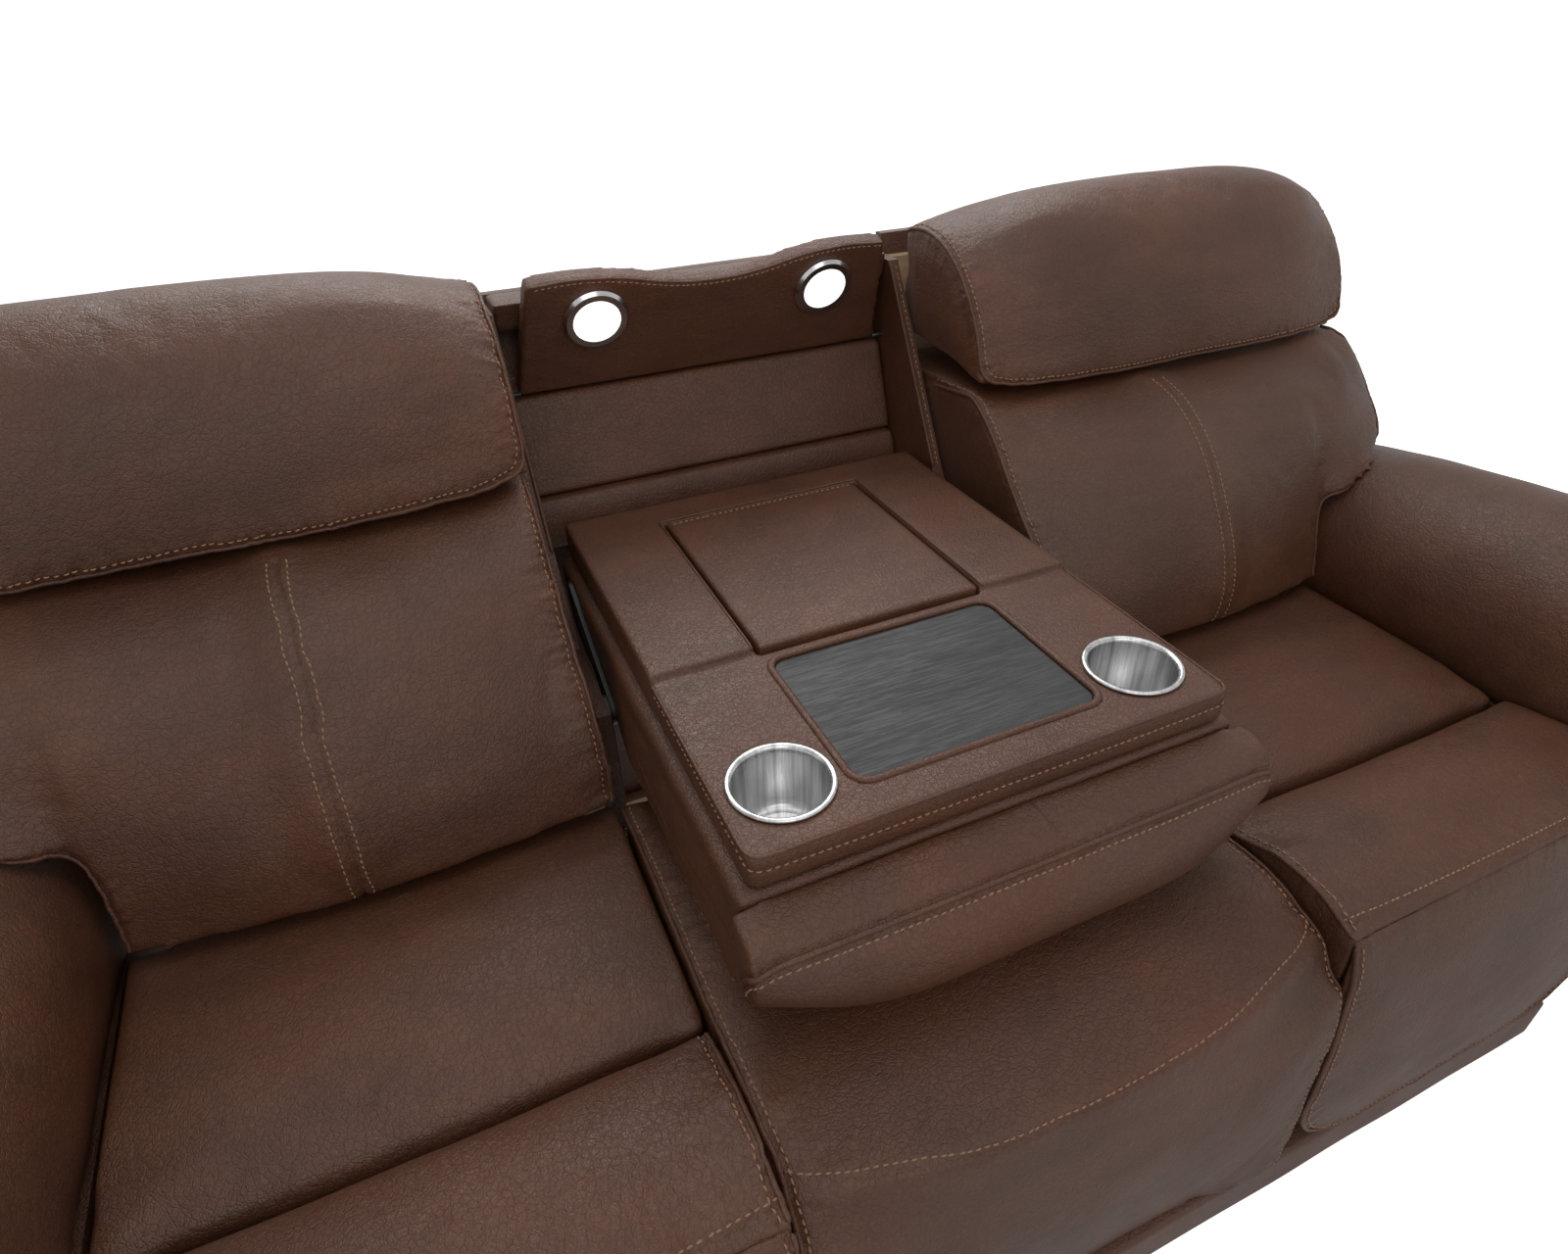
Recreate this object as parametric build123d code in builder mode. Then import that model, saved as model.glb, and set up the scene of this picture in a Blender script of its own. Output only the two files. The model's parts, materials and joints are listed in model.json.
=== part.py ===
"""Three-seat reclining sofa whose middle back folds down to a console.

Millimetres, +Z up, +Y towards the back, origin on the floor under the middle of the sofa.
The right-hand pieces are modelled and their mirror images are written for the left.
"""
from build123d import *
import os
from math import cos, radians, sin

os.makedirs("parts", exist_ok=True)

# ---------------------------------------------------------------- driving dimensions
# overall
overall_depth = 1044.0
middle_seat_width = 608.0  # over the two boards between the seats
outer_seat_width = 510.0
arm_width = 286.0
board = 16.0  # plywood thickness
soft_gap = 0.3  # between a soft piece and what carries it
pin_clearance = 0.05  # radial, pin in a bore

# seat box
foot_height = 38.0
foot_radius = 25.0
foot_front_set_back = 122.0  # of the feet's centres from the front
foot_rear_set_back = 66.0  # and from the foot of the outside back
deck_top_z = 404.0
deck_thickness = 12.0
rail_low_z = 60.0
rail_high_z = 130.0
rail_depth = 20.0
skirt_top_z = 120.0
skirt_low_z = 42.0
skirt_round = 6.0
outer_deck_rear_y = 100.0
middle_deck_rear_y = 12.0
rear_panel_top_z = 240.0

# arms
arm_frame_inset = 12.0  # the padding overhangs the arm's box at the seat
arm_frame_outset = 14.0  # and on the outside
arm_frame_front_gap = 37.0  # from the front of the footrests
arm_frame_rear_gap = 5.0  # behind the foot of the outside back
arm_frame_top_z = 470.0
arm_front_overhang = 15.0
arm_rear_overhang = 13.0
arm_shoulder_share = 0.36  # of the rise, in the rounded arm top over its sides
arm_side_bow = 8.0
# from the front of the arm: length, rise over the arm's box, how far the sides draw in
arm_stations = [(0, 176, 18), (50, 222, 4), (265, 247, 0), (440, 229, 0), (700, 172, 2)]
arm_rear_station = (62, 12)  # rise and draw at the rear end

# seats
seat_edge_height = 102.0  # of the pads' edges over the deck
seat_crown = 12.0
seat_end_drop = 6.0  # the pads' ends lie lower than their middle
seat_side_gap = 2.0
seat_split_y = -300.0
seat_split_gap = 3.0
seat_nose_drop = 8.0  # the front edge is lower than the rear
outer_seat_rear_y = 20.0
middle_seat_front_bow = 40.0
middle_panel_bow = 10.0
middle_panel_draw = 26.0  # the bowed front panel draws back at its ends

# outside back of all three seats: upright below, leaning above
back_hang_z = 250.0
rear_foot_z = 405.0
rear_lean = 0.2  # run per rise
cover_thickness = 16.0
back_top_z = 985.0
middle_back_top_z = 972.0

# reclining outer backs
back_side_gap = 4.0  # to the middle seat
back_narrow_gap = 8.0  # to the arm
back_wing = 175.0  # above the arm the back is wider by this
back_wing_low_z = 684.0
back_wing_root = 166.0  # how far the padded wing runs into the cushion
back_wing_end_gap = 6.0  # its outer end stops short of the board's
back_board_margin = 8.0
back_board_top_gap = 30.0
back_seat_gap = 2.0
recline_y = 110.0
recline_rise = 26.0  # of the pivot over the deck
recline_pin_radius = 8.0
pivot_plate = 6.0
pivot_plate_inset = 26.0
pivot_plate_boss = 14.0
pivot_plate_root = 50.0
bracket_boss = 10.0
bracket_foot = 50.0
# rise over the cushion's foot, thickness to the board, forward bow, reach past the narrow part
back_stations = [
    (0, 409, 16, -4),
    (80, 405, 40, -2),
    (140, 367, 66, 0),
    (195, 318, 92, 0),
    (245, 281, 100, 0),
    (280, 248, 92, 0),
    (300, 221, 60, 0),
]
# share of the wing's reach, its front edge below and above, how far both draw in, forward bow
back_wing_stations = [
    (0.0, 24, 178, 0, 34),
    (0.46, 30, 178, 0, 34),
    (0.8, 52, 186, 3, 30),
    (1.0, 100, 205, 22, 18),
]

# headrests; the profile is given from the hinge, with how each corner draws in at the ends
headrest_inner_gap = 0.5
headrest_hinge_forward = 191.0  # of the foot of the outside back
headrest_hinge_rise = 14.0  # over the back cushion
headrest_profile = [(-27, 6), (225, 32), (225, 186), (45, 218)]
headrest_end_draw = [(26, 10), (0, 0), (-12, -14), (44, -60)]
headrest_rod_radius = 4.0
headrest_arm_inset = 150.0
headrest_arm_width = 25.0
headrest_lug_radius = 9.0
headrest_lug_width = 30.0
headrest_lug_height = 20.0

# footrests and their links
footrest_thickness = 30.0
footrest_edge = 18.0  # thickness at the edges
footrest_end_draw = 2.0
footrest_low_gap = 5.0  # over the skirt
footrest_height = 375.0
footrest_crown = 12.0
footrest_to_seat = 6.0
link_length = 210.0
link_thickness = 5.0
link_half_width = 12.0
link_pin_radius = 5.0
link_play = 1.5  # between neighbouring links
hanger_pivot_set_back = 162.0  # behind the footrest
hanger_pivot_z = 330.0
hanger_half_root = 60.0
hanger_half_tip = 18.0
hanger_pivot_angle = 262.7  # of the rear link, from +Y towards +Z
footrest_pivot_set_back = 24.0
footrest_pivot_z = 300.0

# linear motors under the outer seats
motor_rear_y = 20.0
motor_length = 140.0
motor_width = 56.0
motor_drop = 130.0  # under the deck
motor_height = 52.0
motor_rod_radius = 16.0
motor_rod_length = 150.0
motor_strap = 8.0
motor_strap_length = 30.0

# recess behind the console; the offsets are from the foot of the outside back, to the rear
recess_side_inset = 20.0  # inside the boards between the seats
recess_side_front_y = 66.0
recess_side_step = (215.0, 590.0)
recess_side_low = (285.0, 695.0)
recess_side_high_offset = 33.0
recess_side_high_z = 962.0
recess_roll_offset = -14.0
recess_roll_lean = 7.0
recess_roll_low_z = 642.0
recess_roll_top_z = 716.0
recess_roll_bow = 9.0
recess_back_offset = 1.0
recess_back_top_z = 845.5
recess_back_round = 10.0
top_rail_offset = 34.0
top_rail_slant = 10.0
top_rail_low_z = 935.0
top_rail_crown = 4.0

# light panel, leaning forwards from its lower edge
light_edge_offset = 47.0  # as the recess's offsets
light_edge_z = 847.0
light_lean = 24.0
light_panel_height = 168.0
light_panel_thickness = 25.0
light_panel_end_gap = 15.0
light_panel_taper = 22.0  # narrower at the top, on each side
light_panel_wave = 3.0  # its top edge rises over the lights
light_panel_dip = 22.0  # and dips between them
light_dip_x = 88.0
light_pin_radius = 3.0
light_pin_inset = 4.0
light_x = 162.0
light_up = 112.0
light_rim_radius = 43.5
light_rim_height = 8.0
light_rim_chamfer = 4.0
light_lens_radius = 31.0
light_lens_height = 6.0
light_dot_radius = 8.7
light_dot_height = 1.0

# console, lying down over the middle seat
console_front_y = -314.0
console_rear_y = 325.0
console_top_z = 708.0
console_side_room = 10.0  # to the recess sides, for the swing plates
console_lip = 38.0
console_raise = 8.0  # the padding behind the cross seam stands higher
console_seam_y = -49.0
console_corner = 12.0
body_overhang = 14.0  # the body is wider than the top
body_front_gap = 4.0
body_height = 129.7
body_rear_round = 90.0
body_edge_round = 20.0
roll_overhang = 8.0
# lower and upper front corners of the roll, forwards of the console and below its top
roll_nose = (70.0, 158.0)
roll_brow = (56.0, 66.0)
roll_rear_drop = 171.0
roll_rear_rise = 40.0
roll_end_draw = [42.0, 4.0, 30.0, 8.0]  # both corners draw back and up at the ends
pivot_y = 103.0
pivot_drop = 139.0
console_pin_radius = 8.0
swing_plate = 5.0
swing_boss = 12.0
swing_far_radius = 14.0
swing_reach = (147.0, 86.0)  # from the pivot to the plates' other end
hinge_play = 1.0
bracket_foot_front = 20.0  # from the pivot
bracket_foot_rear = 100.0
bracket_foot_low = 10.0  # over the deck
bracket_foot_high = 70.0

# things in the console top
cup_y = -240.0
cup_edge_margin = 11.0
cup_radius = 44.0
cup_wall = 1.2
cup_depth = 75.0
cup_flange_width = 7.0
cup_flange = 2.5
tray_cup_gap = 13.0
tray_front_y = -268.0
tray_rear_y = -69.0
tray_thickness = 12.0
tray_sunk = 2.0
tray_corner = 16.0
tray_chamfer = 1.0
lid_overhang = 4.0  # the lid is wider than the tray
lid_rear_y = 266.0
lid_thickness = 30.0
lid_side_gap = 4.0
lid_front_gap = 3.0
bin_depth = 88.0
bin_wall = 3.0

# switches on the outer sides of the arms
switch_y = -340.0
switch_z = 400.0
switch_length = 90.0
switch_height = 42.0
switch_thickness = 4.0
switch_corner = 8.0
button_radius = 9.0
button_proud = 3.0
button_travel = 1.5
button_chamfer = 1.0

# ---------------------------------------------------------------- places worked out
front_y = -overall_depth / 2
rear_foot_y = overall_depth / 2 - (back_top_z - rear_foot_z) * rear_lean
feet_y = (front_y + foot_front_set_back, rear_foot_y - foot_rear_set_back)
seat_division_x = middle_seat_width / 2
arm_inner_x = seat_division_x + outer_seat_width
arm_outer_x = arm_inner_x + arm_width
arm_frame_inner_x = arm_inner_x + arm_frame_inset
arm_frame_outer_x = arm_outer_x - arm_frame_outset
arm_frame_front_y = front_y + arm_frame_front_gap
arm_frame_rear_y = rear_foot_y + arm_frame_rear_gap
arm_front_y = arm_frame_front_y - arm_front_overhang
arm_length = arm_frame_rear_y + arm_rear_overhang - arm_front_y
footrest_rear_y = front_y + footrest_thickness
seat_front_y = footrest_rear_y + footrest_to_seat
rail_front_y = seat_front_y + board
divider_front_y = rail_front_y + rail_depth
divider_rear_y = rear_foot_y - cover_thickness
deck_z = (deck_top_z - deck_thickness, deck_top_z)
seat_edge_z = deck_top_z + seat_edge_height
seat_x = (seat_division_x + seat_side_gap, arm_inner_x - seat_side_gap)
seat_middle_x = (seat_division_x + arm_frame_inner_x) / 2
recline_z = deck_top_z + recline_rise
back_x = (seat_division_x + back_side_gap, arm_inner_x - back_narrow_gap)
back_wing_x = back_x[1] + back_wing
back_cushion_low_z = seat_edge_z + seat_crown + back_seat_gap
back_cushion_top_z = back_cushion_low_z + back_stations[-1][0]
board_depth = (cover_thickness, cover_thickness + board)  # inwards from the outside back
headrest_x = (seat_division_x + headrest_inner_gap, back_wing_x)
headrest_hinge_y = rear_foot_y - headrest_hinge_forward
headrest_hinge_z = back_cushion_top_z + headrest_hinge_rise
hanger_pivot_y = footrest_rear_y + hanger_pivot_set_back
footrest_pivot_y = footrest_rear_y + footrest_pivot_set_back
knee_y = hanger_pivot_y + link_length * cos(radians(hanger_pivot_angle))
knee_z = hanger_pivot_z + link_length * sin(radians(hanger_pivot_angle))
hanger_x = seat_division_x + pivot_plate_inset
rear_link_x = hanger_x + pivot_plate + link_play
front_link_x = rear_link_x + link_thickness + link_play
footrest_plate_x = front_link_x + link_thickness + link_play
recess_side_inner_x = seat_division_x - recess_side_inset
recess_half_width = recess_side_inner_x - soft_gap
recess_side_high = (rear_foot_y + recess_side_high_offset, recess_side_high_z)
recess_roll_front_y = rear_foot_y + recess_roll_offset
recess_back_front_y = rear_foot_y + recess_back_offset
top_rail_front_y = rear_foot_y + top_rail_offset
light_edge_y = rear_foot_y + light_edge_offset
light_up_y = -sin(radians(light_lean))  # direction up along the light panel
light_up_z = cos(radians(light_lean))
light_pin_y = light_edge_y + light_pin_inset * (light_up_y + light_up_z)
light_pin_z = light_edge_z + light_pin_inset * (light_up_z - light_up_y)
body_half_width = recess_side_inner_x - console_side_room
console_half_width = body_half_width - body_overhang
pivot_z = console_top_z - pivot_drop
lid_top_z = console_top_z + console_raise
lid_low_z = lid_top_z - lid_thickness
lip_low_z = console_top_z - console_lip
cup_outer_radius = cup_radius + cup_wall
cup_flange_radius = cup_radius + cup_flange_width
cup_x = console_half_width - cup_edge_margin - cup_flange_radius
cup_floor_z = console_top_z - cup_depth
tray_half_width = cup_x - cup_flange_radius - tray_cup_gap
lid_half_width = tray_half_width + lid_overhang
bin_floor_z = lid_low_z - bin_depth
bin_half_width = lid_half_width + lid_side_gap - soft_gap
# share of a cushion's width, and how full it is there
across_stations = [(0.0, 0.0), (0.12, 0.7), (0.5, 1.0), (0.88, 0.7), (1.0, 0.0)]


def rear_y(z, inwards=0.0):
    """Depth of the outside back at a height, or of a face that lies inwards from it."""
    return rear_foot_y + max(z - rear_foot_z, 0) * rear_lean - inwards


def paired_x(x, width):
    """Low faces of a plate on the inner side of an outer seat and of its twin."""
    return x, 2 * seat_middle_x - x - width


# ---------------------------------------------------------------- helpers
def bowed_outline(corners, bows):
    """Fill a closed outline, listed anticlockwise, whose sides bow outwards by the bows."""
    with BuildLine() as outline:
        for start, end, bow in zip(corners, corners[1:] + corners[:1], bows):
            along = Vector(*end) - Vector(*start)
            middle = (Vector(*start) + Vector(*end)) / 2
            outwards = Vector(along.Y, -along.X).normalized()
            if bow == 0:
                Line(start, end)
            else:
                ThreePointArc(start, middle + outwards * bow, end)
    make_face(outline.edges())


def block(x_range, y_range, z_range, mode=Mode.ADD):
    """A straight-sided block between three pairs of limits."""
    with BuildSketch(Plane.XY.offset(z_range[0])) as footprint:
        with Locations(((x_range[0] + x_range[1]) / 2, (y_range[0] + y_range[1]) / 2)):
            Rectangle(x_range[1] - x_range[0], y_range[1] - y_range[0])
    extrude(footprint.sketch, amount=z_range[1] - z_range[0], mode=mode)


def side_plate(x_low, thickness, corners):
    """A flat plate across X, cut to an outline in depth and height."""
    with BuildSketch(Plane.YZ.offset(x_low)) as profile:
        with BuildLine():
            Polyline(*corners, close=True)
        make_face()
    extrude(profile.sketch, amount=thickness)


def side_disc(x_low, length, y, z, radius, mode=Mode.ADD):
    """A round bar or bore along X."""
    with BuildSketch(Plane.YZ.offset(x_low)) as disc:
        with Locations((y, z)):
            Circle(radius)
    extrude(disc.sketch, amount=length, mode=mode)


def round_ended_plate(x_low, thickness, first, second, first_radius, second_radius):
    """A flat link across X between two round ends."""
    with BuildSketch(Plane.YZ.offset(x_low)) as link:
        with Locations(first):
            Circle(first_radius)
        with Locations(second):
            Circle(second_radius)
        make_hull()
    extrude(link.sketch, amount=thickness)


def footed_plate(x_low, thickness, eye, eye_radius, foot_corners):
    """A flat plate across X that tapers from a round eye to a straight-sided foot."""
    with BuildSketch(Plane.YZ.offset(x_low)) as profile:
        with Locations(eye):
            Circle(eye_radius)
        with BuildLine():
            Polyline(*foot_corners, close=True)
        make_face()
        make_hull()
    extrude(profile.sketch, amount=thickness)


def back_slab(x_range, z_range, depth_range):
    """A slab that follows the outside back, between two depths inwards from it."""
    low, high = z_range
    heights = [low, rear_foot_z, high] if low < rear_foot_z else [low, high]
    outer, inner = depth_range
    corners = [(rear_y(z, inner), z) for z in heights]
    corners += [(rear_y(z, outer), z) for z in reversed(heights)]
    side_plate(x_range[0], x_range[1] - x_range[0], corners)


def write(name, piece):
    """Label a piece and write it."""
    piece.label = name
    export_step(piece, f"parts/{name}.step")


def write_pair(name, piece):
    """Write a right-hand piece and its mirror image."""
    write(f"right_{name}", piece)
    with BuildPart() as mirrored:
        mirror(piece, about=Plane.YZ)
    write(f"left_{name}", mirrored.part)


# ---------------------------------------------------------------- seat box
with BuildPart() as feet:
    with BuildSketch():
        for x in (seat_division_x - board / 2, (arm_frame_inner_x + arm_frame_outer_x) / 2):
            with Locations(*[(side * x, y) for side in (-1, 1) for y in feet_y]):
                Circle(foot_radius)
    extrude(amount=foot_height)
write("feet", feet.part)

rail_x = (-arm_frame_inner_x, arm_frame_inner_x)
with BuildPart() as front_rail:
    block(rail_x, (rail_front_y, divider_front_y), (rail_low_z, rail_high_z))
write("front_rail", front_rail.part)

with BuildPart() as rear_rail:
    block(rail_x, (divider_rear_y, arm_frame_rear_y), (rail_low_z, rail_high_z))
write("rear_rail", rear_rail.part)

with BuildPart() as base_skirt:
    block(rail_x, (seat_front_y, rail_front_y), (skirt_low_z, skirt_top_z))
    fillet(base_skirt.edges().filter_by(Axis.X).group_by(Axis.Y)[0], skirt_round)
write("base_skirt", base_skirt.part)

with BuildPart() as rear_panel:
    rear_panel_y = (arm_frame_rear_y, arm_frame_rear_y + board)
    block((-arm_frame_outer_x, arm_frame_outer_x), rear_panel_y, (skirt_low_z, rear_panel_top_z))
    fillet(rear_panel.edges().filter_by(Axis.X).group_by(Axis.Y)[-1], skirt_round)
write("rear_panel", rear_panel.part)

with BuildPart() as divider:
    divider_y = (divider_front_y, divider_rear_y)
    block((seat_division_x - board, seat_division_x), divider_y, (foot_height, deck_top_z))
write_pair("divider", divider.part)

with BuildPart() as middle_seat_deck:
    deck_half_width = seat_division_x - board
    block((-deck_half_width, deck_half_width), (divider_front_y, middle_deck_rear_y), deck_z)
write("middle_seat_deck", middle_seat_deck.part)

# Each outer seat frame is a pressed deck with two hanger plates that carry the footrest links.
with BuildPart() as seat_frame:
    block((seat_division_x, arm_frame_inner_x), (divider_front_y, outer_deck_rear_y), deck_z)
    pin_length = link_play + link_thickness
    hanger_tip_z = hanger_pivot_z - hanger_half_tip
    hanger = [
        (hanger_pivot_y - hanger_half_root, deck_z[0]),
        (hanger_pivot_y - hanger_half_tip, hanger_tip_z),
        (hanger_pivot_y + hanger_half_tip, hanger_tip_z),
        (hanger_pivot_y + hanger_half_root, deck_z[0]),
    ]
    for low_x in paired_x(hanger_x, pivot_plate):
        side_plate(low_x, pivot_plate, hanger)
    for low_x in paired_x(hanger_x + pivot_plate, pin_length):
        side_disc(low_x, pin_length, hanger_pivot_y, hanger_pivot_z, link_pin_radius)
write_pair("seat_frame", seat_frame.part)

# ---------------------------------------------------------------- arms
with BuildPart() as arm_frame:
    arm_x = (arm_frame_inner_x, arm_frame_outer_x)
    block(arm_x, (arm_frame_front_y, arm_frame_rear_y), (foot_height, arm_frame_top_z))
    inside_x = (arm_frame_inner_x + board, arm_frame_outer_x - board)
    inside_y = (arm_frame_front_y + board, arm_frame_rear_y - board)
    block(inside_x, inside_y, (foot_height + board, arm_frame_top_z - board), mode=Mode.SUBTRACT)
write_pair("arm_frame", arm_frame.part)

with BuildPart() as arm_pad:
    arm_low_z = arm_frame_top_z + soft_gap
    for length, rise, draw in arm_stations + [(arm_length, *arm_rear_station)]:
        inner = arm_inner_x + arm_side_bow + draw
        outer = arm_outer_x - arm_side_bow - draw
        shoulder = rise * arm_shoulder_share
        shoulder_z = arm_frame_top_z + rise - shoulder
        arm_corners = [(inner, arm_low_z), (outer, arm_low_z), (outer, shoulder_z), (inner, shoulder_z)]
        with BuildSketch(Plane.XZ.offset(-arm_front_y - length)):
            bowed_outline(arm_corners, [0, arm_side_bow, shoulder, arm_side_bow])
    loft()
write_pair("arm_pad", arm_pad.part)


# ---------------------------------------------------------------- seat cushions
def seat_pad(x_range, front, rear, front_bow=0.0):
    """A crowned seat pad, flat underneath, with ends that draw in and down."""
    low_z = deck_top_z + soft_gap
    for share, full in across_stations:
        x = x_range[0] + (x_range[1] - x_range[0]) * share
        top_z = seat_edge_z - seat_end_drop * (1 - full)
        nose_y = front - front_bow * full
        corners = [(nose_y, low_z), (rear, low_z), (rear, top_z), (nose_y, top_z - seat_nose_drop)]
        with BuildSketch(Plane.YZ.offset(x)) as section:
            bowed_outline(corners, [0, 0, seat_crown * (0.4 + 0.6 * full), 0])
        yield section.sketch


with BuildPart() as seat_cushion:
    loft(list(seat_pad(seat_x, seat_split_y, outer_seat_rear_y)))
write_pair("seat_cushion", seat_cushion.part)

with BuildPart() as seat_bolster:
    loft(list(seat_pad(seat_x, seat_front_y, seat_split_y - seat_split_gap)))
write_pair("seat_bolster", seat_bolster.part)

middle_half_width = seat_division_x - seat_side_gap
with BuildPart() as middle_seat_cushion:
    middle_x = (-middle_half_width, middle_half_width)
    loft(list(seat_pad(middle_x, rail_front_y, middle_deck_rear_y, middle_seat_front_bow)))
write("middle_seat_cushion", middle_seat_cushion.part)

with BuildPart() as middle_front_panel:
    panel_low_z = skirt_top_z + soft_gap
    for share, full in across_stations:
        nose_y = front_y + middle_panel_bow + middle_panel_draw * (1 - full)
        corners = [(nose_y, panel_low_z), (rail_front_y, panel_low_z)]
        corners += [(rail_front_y, deck_top_z), (nose_y, deck_top_z)]
        with BuildSketch(Plane.YZ.offset(middle_half_width * (2 * share - 1))):
            bowed_outline(corners, [0, 0, 0, middle_panel_bow])
    loft()
write("middle_front_panel", middle_front_panel.part)

# ---------------------------------------------------------------- reclining backs
with BuildPart() as back_cover:
    back_slab(back_x, (back_hang_z, back_top_z), (0, cover_thickness))
    wing_z = (back_wing_low_z, back_top_z)
    back_slab((back_x[1], back_wing_x), wing_z, (0, cover_thickness))
write_pair("back_cover", back_cover.part)

# A board, wider above the arm, with two steel plates that reach forwards to the recline pivot.
pivot_eye = (recline_y, recline_z)
recline_plate_x = (back_x[0] + pivot_plate_inset, arm_inner_x - pivot_plate_inset - pivot_plate)

with BuildPart() as back_frame:
    board_x = (back_x[0] + back_board_margin, back_x[1] - back_board_margin)
    board_top_z = back_top_z - back_board_top_gap
    back_slab(board_x, (recline_z, board_top_z), board_depth)
    wing_board_x = (board_x[1], back_wing_x - back_board_margin)
    back_slab(wing_board_x, (back_wing_low_z, board_top_z), board_depth)
    root_y = rear_y(recline_z, cover_thickness + board / 2)
    root_z = (recline_z + pivot_plate_boss, recline_z + pivot_plate_boss + pivot_plate_root)
    root = [(root_y - board, root_z[0]), (root_y, root_z[0])]
    root += [(root_y, root_z[1]), (root_y - board, root_z[1])]
    for low_x in recline_plate_x:
        footed_plate(low_x, pivot_plate, pivot_eye, recline_pin_radius + pivot_plate_boss, root)
        bore_radius = recline_pin_radius + pin_clearance
        side_disc(low_x, pivot_plate, *pivot_eye, bore_radius, mode=Mode.SUBTRACT)
write_pair("back_frame", back_frame.part)

# Brackets on the seat frame, one beside each plate of the back, with the recline pins.
with BuildPart() as recline_brackets:
    foot_low_y = outer_deck_rear_y - bracket_foot
    foot = [(foot_low_y, deck_top_z), (outer_deck_rear_y, deck_top_z)]
    foot += [(outer_deck_rear_y, deck_top_z + pivot_plate), (foot_low_y, deck_top_z + pivot_plate)]
    beside = pivot_plate + link_play
    pin_length = pivot_plate + beside
    for plate_x, step in zip(recline_plate_x, (beside, -beside)):
        footed_plate(plate_x + step, pivot_plate, pivot_eye, recline_pin_radius + bracket_boss, foot)
        side_disc(min(plate_x, plate_x + step), pin_length, *pivot_eye, recline_pin_radius)
    mirror(about=Plane.YZ)
write("recline_brackets", recline_brackets.part)

with BuildPart() as back_cushion:
    behind_cushion = board_depth[1] + soft_gap
    for rise, thickness, bow, reach in back_stations:
        z = back_cushion_low_z + rise
        board_y = rear_y(z, behind_cushion)
        outer_x = back_x[1] + reach
        corners = [(back_x[0], board_y - thickness), (outer_x, board_y - thickness)]
        corners += [(outer_x, board_y), (back_x[0], board_y)]
        with BuildSketch(Plane.XY.offset(z)):
            bowed_outline(corners, [bow, 0, 0, 0])
    loft()
    wing_root_x = back_x[1] - back_wing_root
    wing_reach = back_wing_x - back_wing_end_gap - wing_root_x
    for share, low_y, high_y, draw, bow in back_wing_stations:
        low_z = back_wing_low_z + draw
        high_z = back_cushion_top_z - draw / 2
        corners = [(low_y, low_z), (rear_y(low_z, behind_cushion), low_z)]
        corners += [(rear_y(high_z, behind_cushion), high_z), (high_y, high_z)]
        with BuildSketch(Plane.YZ.offset(wing_root_x + wing_reach * share)):
            bowed_outline(corners, [0, 0, 0, bow])
    loft()
write_pair("back_cushion", back_cushion.part)

# ---------------------------------------------------------------- headrests
lug_x = (
    back_x[0] + headrest_arm_inset,
    back_x[1] - headrest_arm_inset - headrest_lug_width,
)

with BuildPart() as headrest:
    for share, full in across_stations:
        corners = [
            (headrest_hinge_y + y + draw_y * (1 - full), headrest_hinge_z + z + draw_z * (1 - full))
            for (y, z), (draw_y, draw_z) in zip(headrest_profile, headrest_end_draw)
        ]
        with BuildSketch(Plane.YZ.offset(headrest_x[0] + (headrest_x[1] - headrest_x[0]) * share)):
            bowed_outline(corners, [0, 4, 14 + 14 * full, 16 + 8 * full])
    loft()
    for x in lug_x:
        with BuildSketch(Plane.YZ.offset(x)):
            with Locations((headrest_hinge_y, headrest_hinge_z)):
                Circle(headrest_lug_radius)
            with Locations((headrest_hinge_y, headrest_hinge_z + headrest_lug_height)):
                Circle(headrest_lug_radius)
            make_hull()
        extrude(amount=headrest_lug_width)
        bore = (headrest_hinge_y, headrest_hinge_z, headrest_rod_radius + pin_clearance)
        side_disc(x, headrest_lug_width, *bore, mode=Mode.SUBTRACT)
write_pair("headrest", headrest.part)

# A rod on two strips that run back to the board of the reclining back.
with BuildPart() as headrest_hinge:
    strip_x = (
        lug_x[0] - link_play - headrest_arm_width,
        lug_x[1] + headrest_lug_width + link_play,
    )
    rod_length = strip_x[1] + headrest_arm_width - strip_x[0]
    side_disc(strip_x[0], rod_length, headrest_hinge_y, headrest_hinge_z, headrest_rod_radius)
    strip_z = (headrest_hinge_z - headrest_rod_radius, headrest_hinge_z + headrest_rod_radius)
    strip = [(headrest_hinge_y, strip_z[0]), (rear_y(strip_z[0], board_depth[1]), strip_z[0])]
    strip += [(rear_y(strip_z[1], board_depth[1]), strip_z[1]), (headrest_hinge_y, strip_z[1])]
    for x in strip_x:
        side_plate(x, headrest_arm_width, strip)
write_pair("headrest_hinge", headrest_hinge.part)

# ---------------------------------------------------------------- footrests
hanger_pivot = (hanger_pivot_y, hanger_pivot_z)
link_knee = (knee_y, knee_z)
footrest_pivot = (footrest_pivot_y, footrest_pivot_z)
link_bore_radius = link_pin_radius + pin_clearance


def link_pair(first_x, bored, pinned):
    """Two flat links, each with a bore at one end and a pin that stands out at the other."""
    pin_length = link_play + link_thickness
    for low_x in paired_x(first_x, link_thickness):
        round_ended_plate(low_x, link_thickness, bored, pinned, link_half_width, link_half_width)
        side_disc(low_x, link_thickness, *bored, link_bore_radius, mode=Mode.SUBTRACT)
    for low_x in paired_x(first_x + link_thickness, pin_length):
        side_disc(low_x, pin_length, *pinned, link_pin_radius)


with BuildPart() as footrest_rear_link:
    link_pair(rear_link_x, hanger_pivot, link_knee)
write_pair("footrest_rear_link", footrest_rear_link.part)

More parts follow.
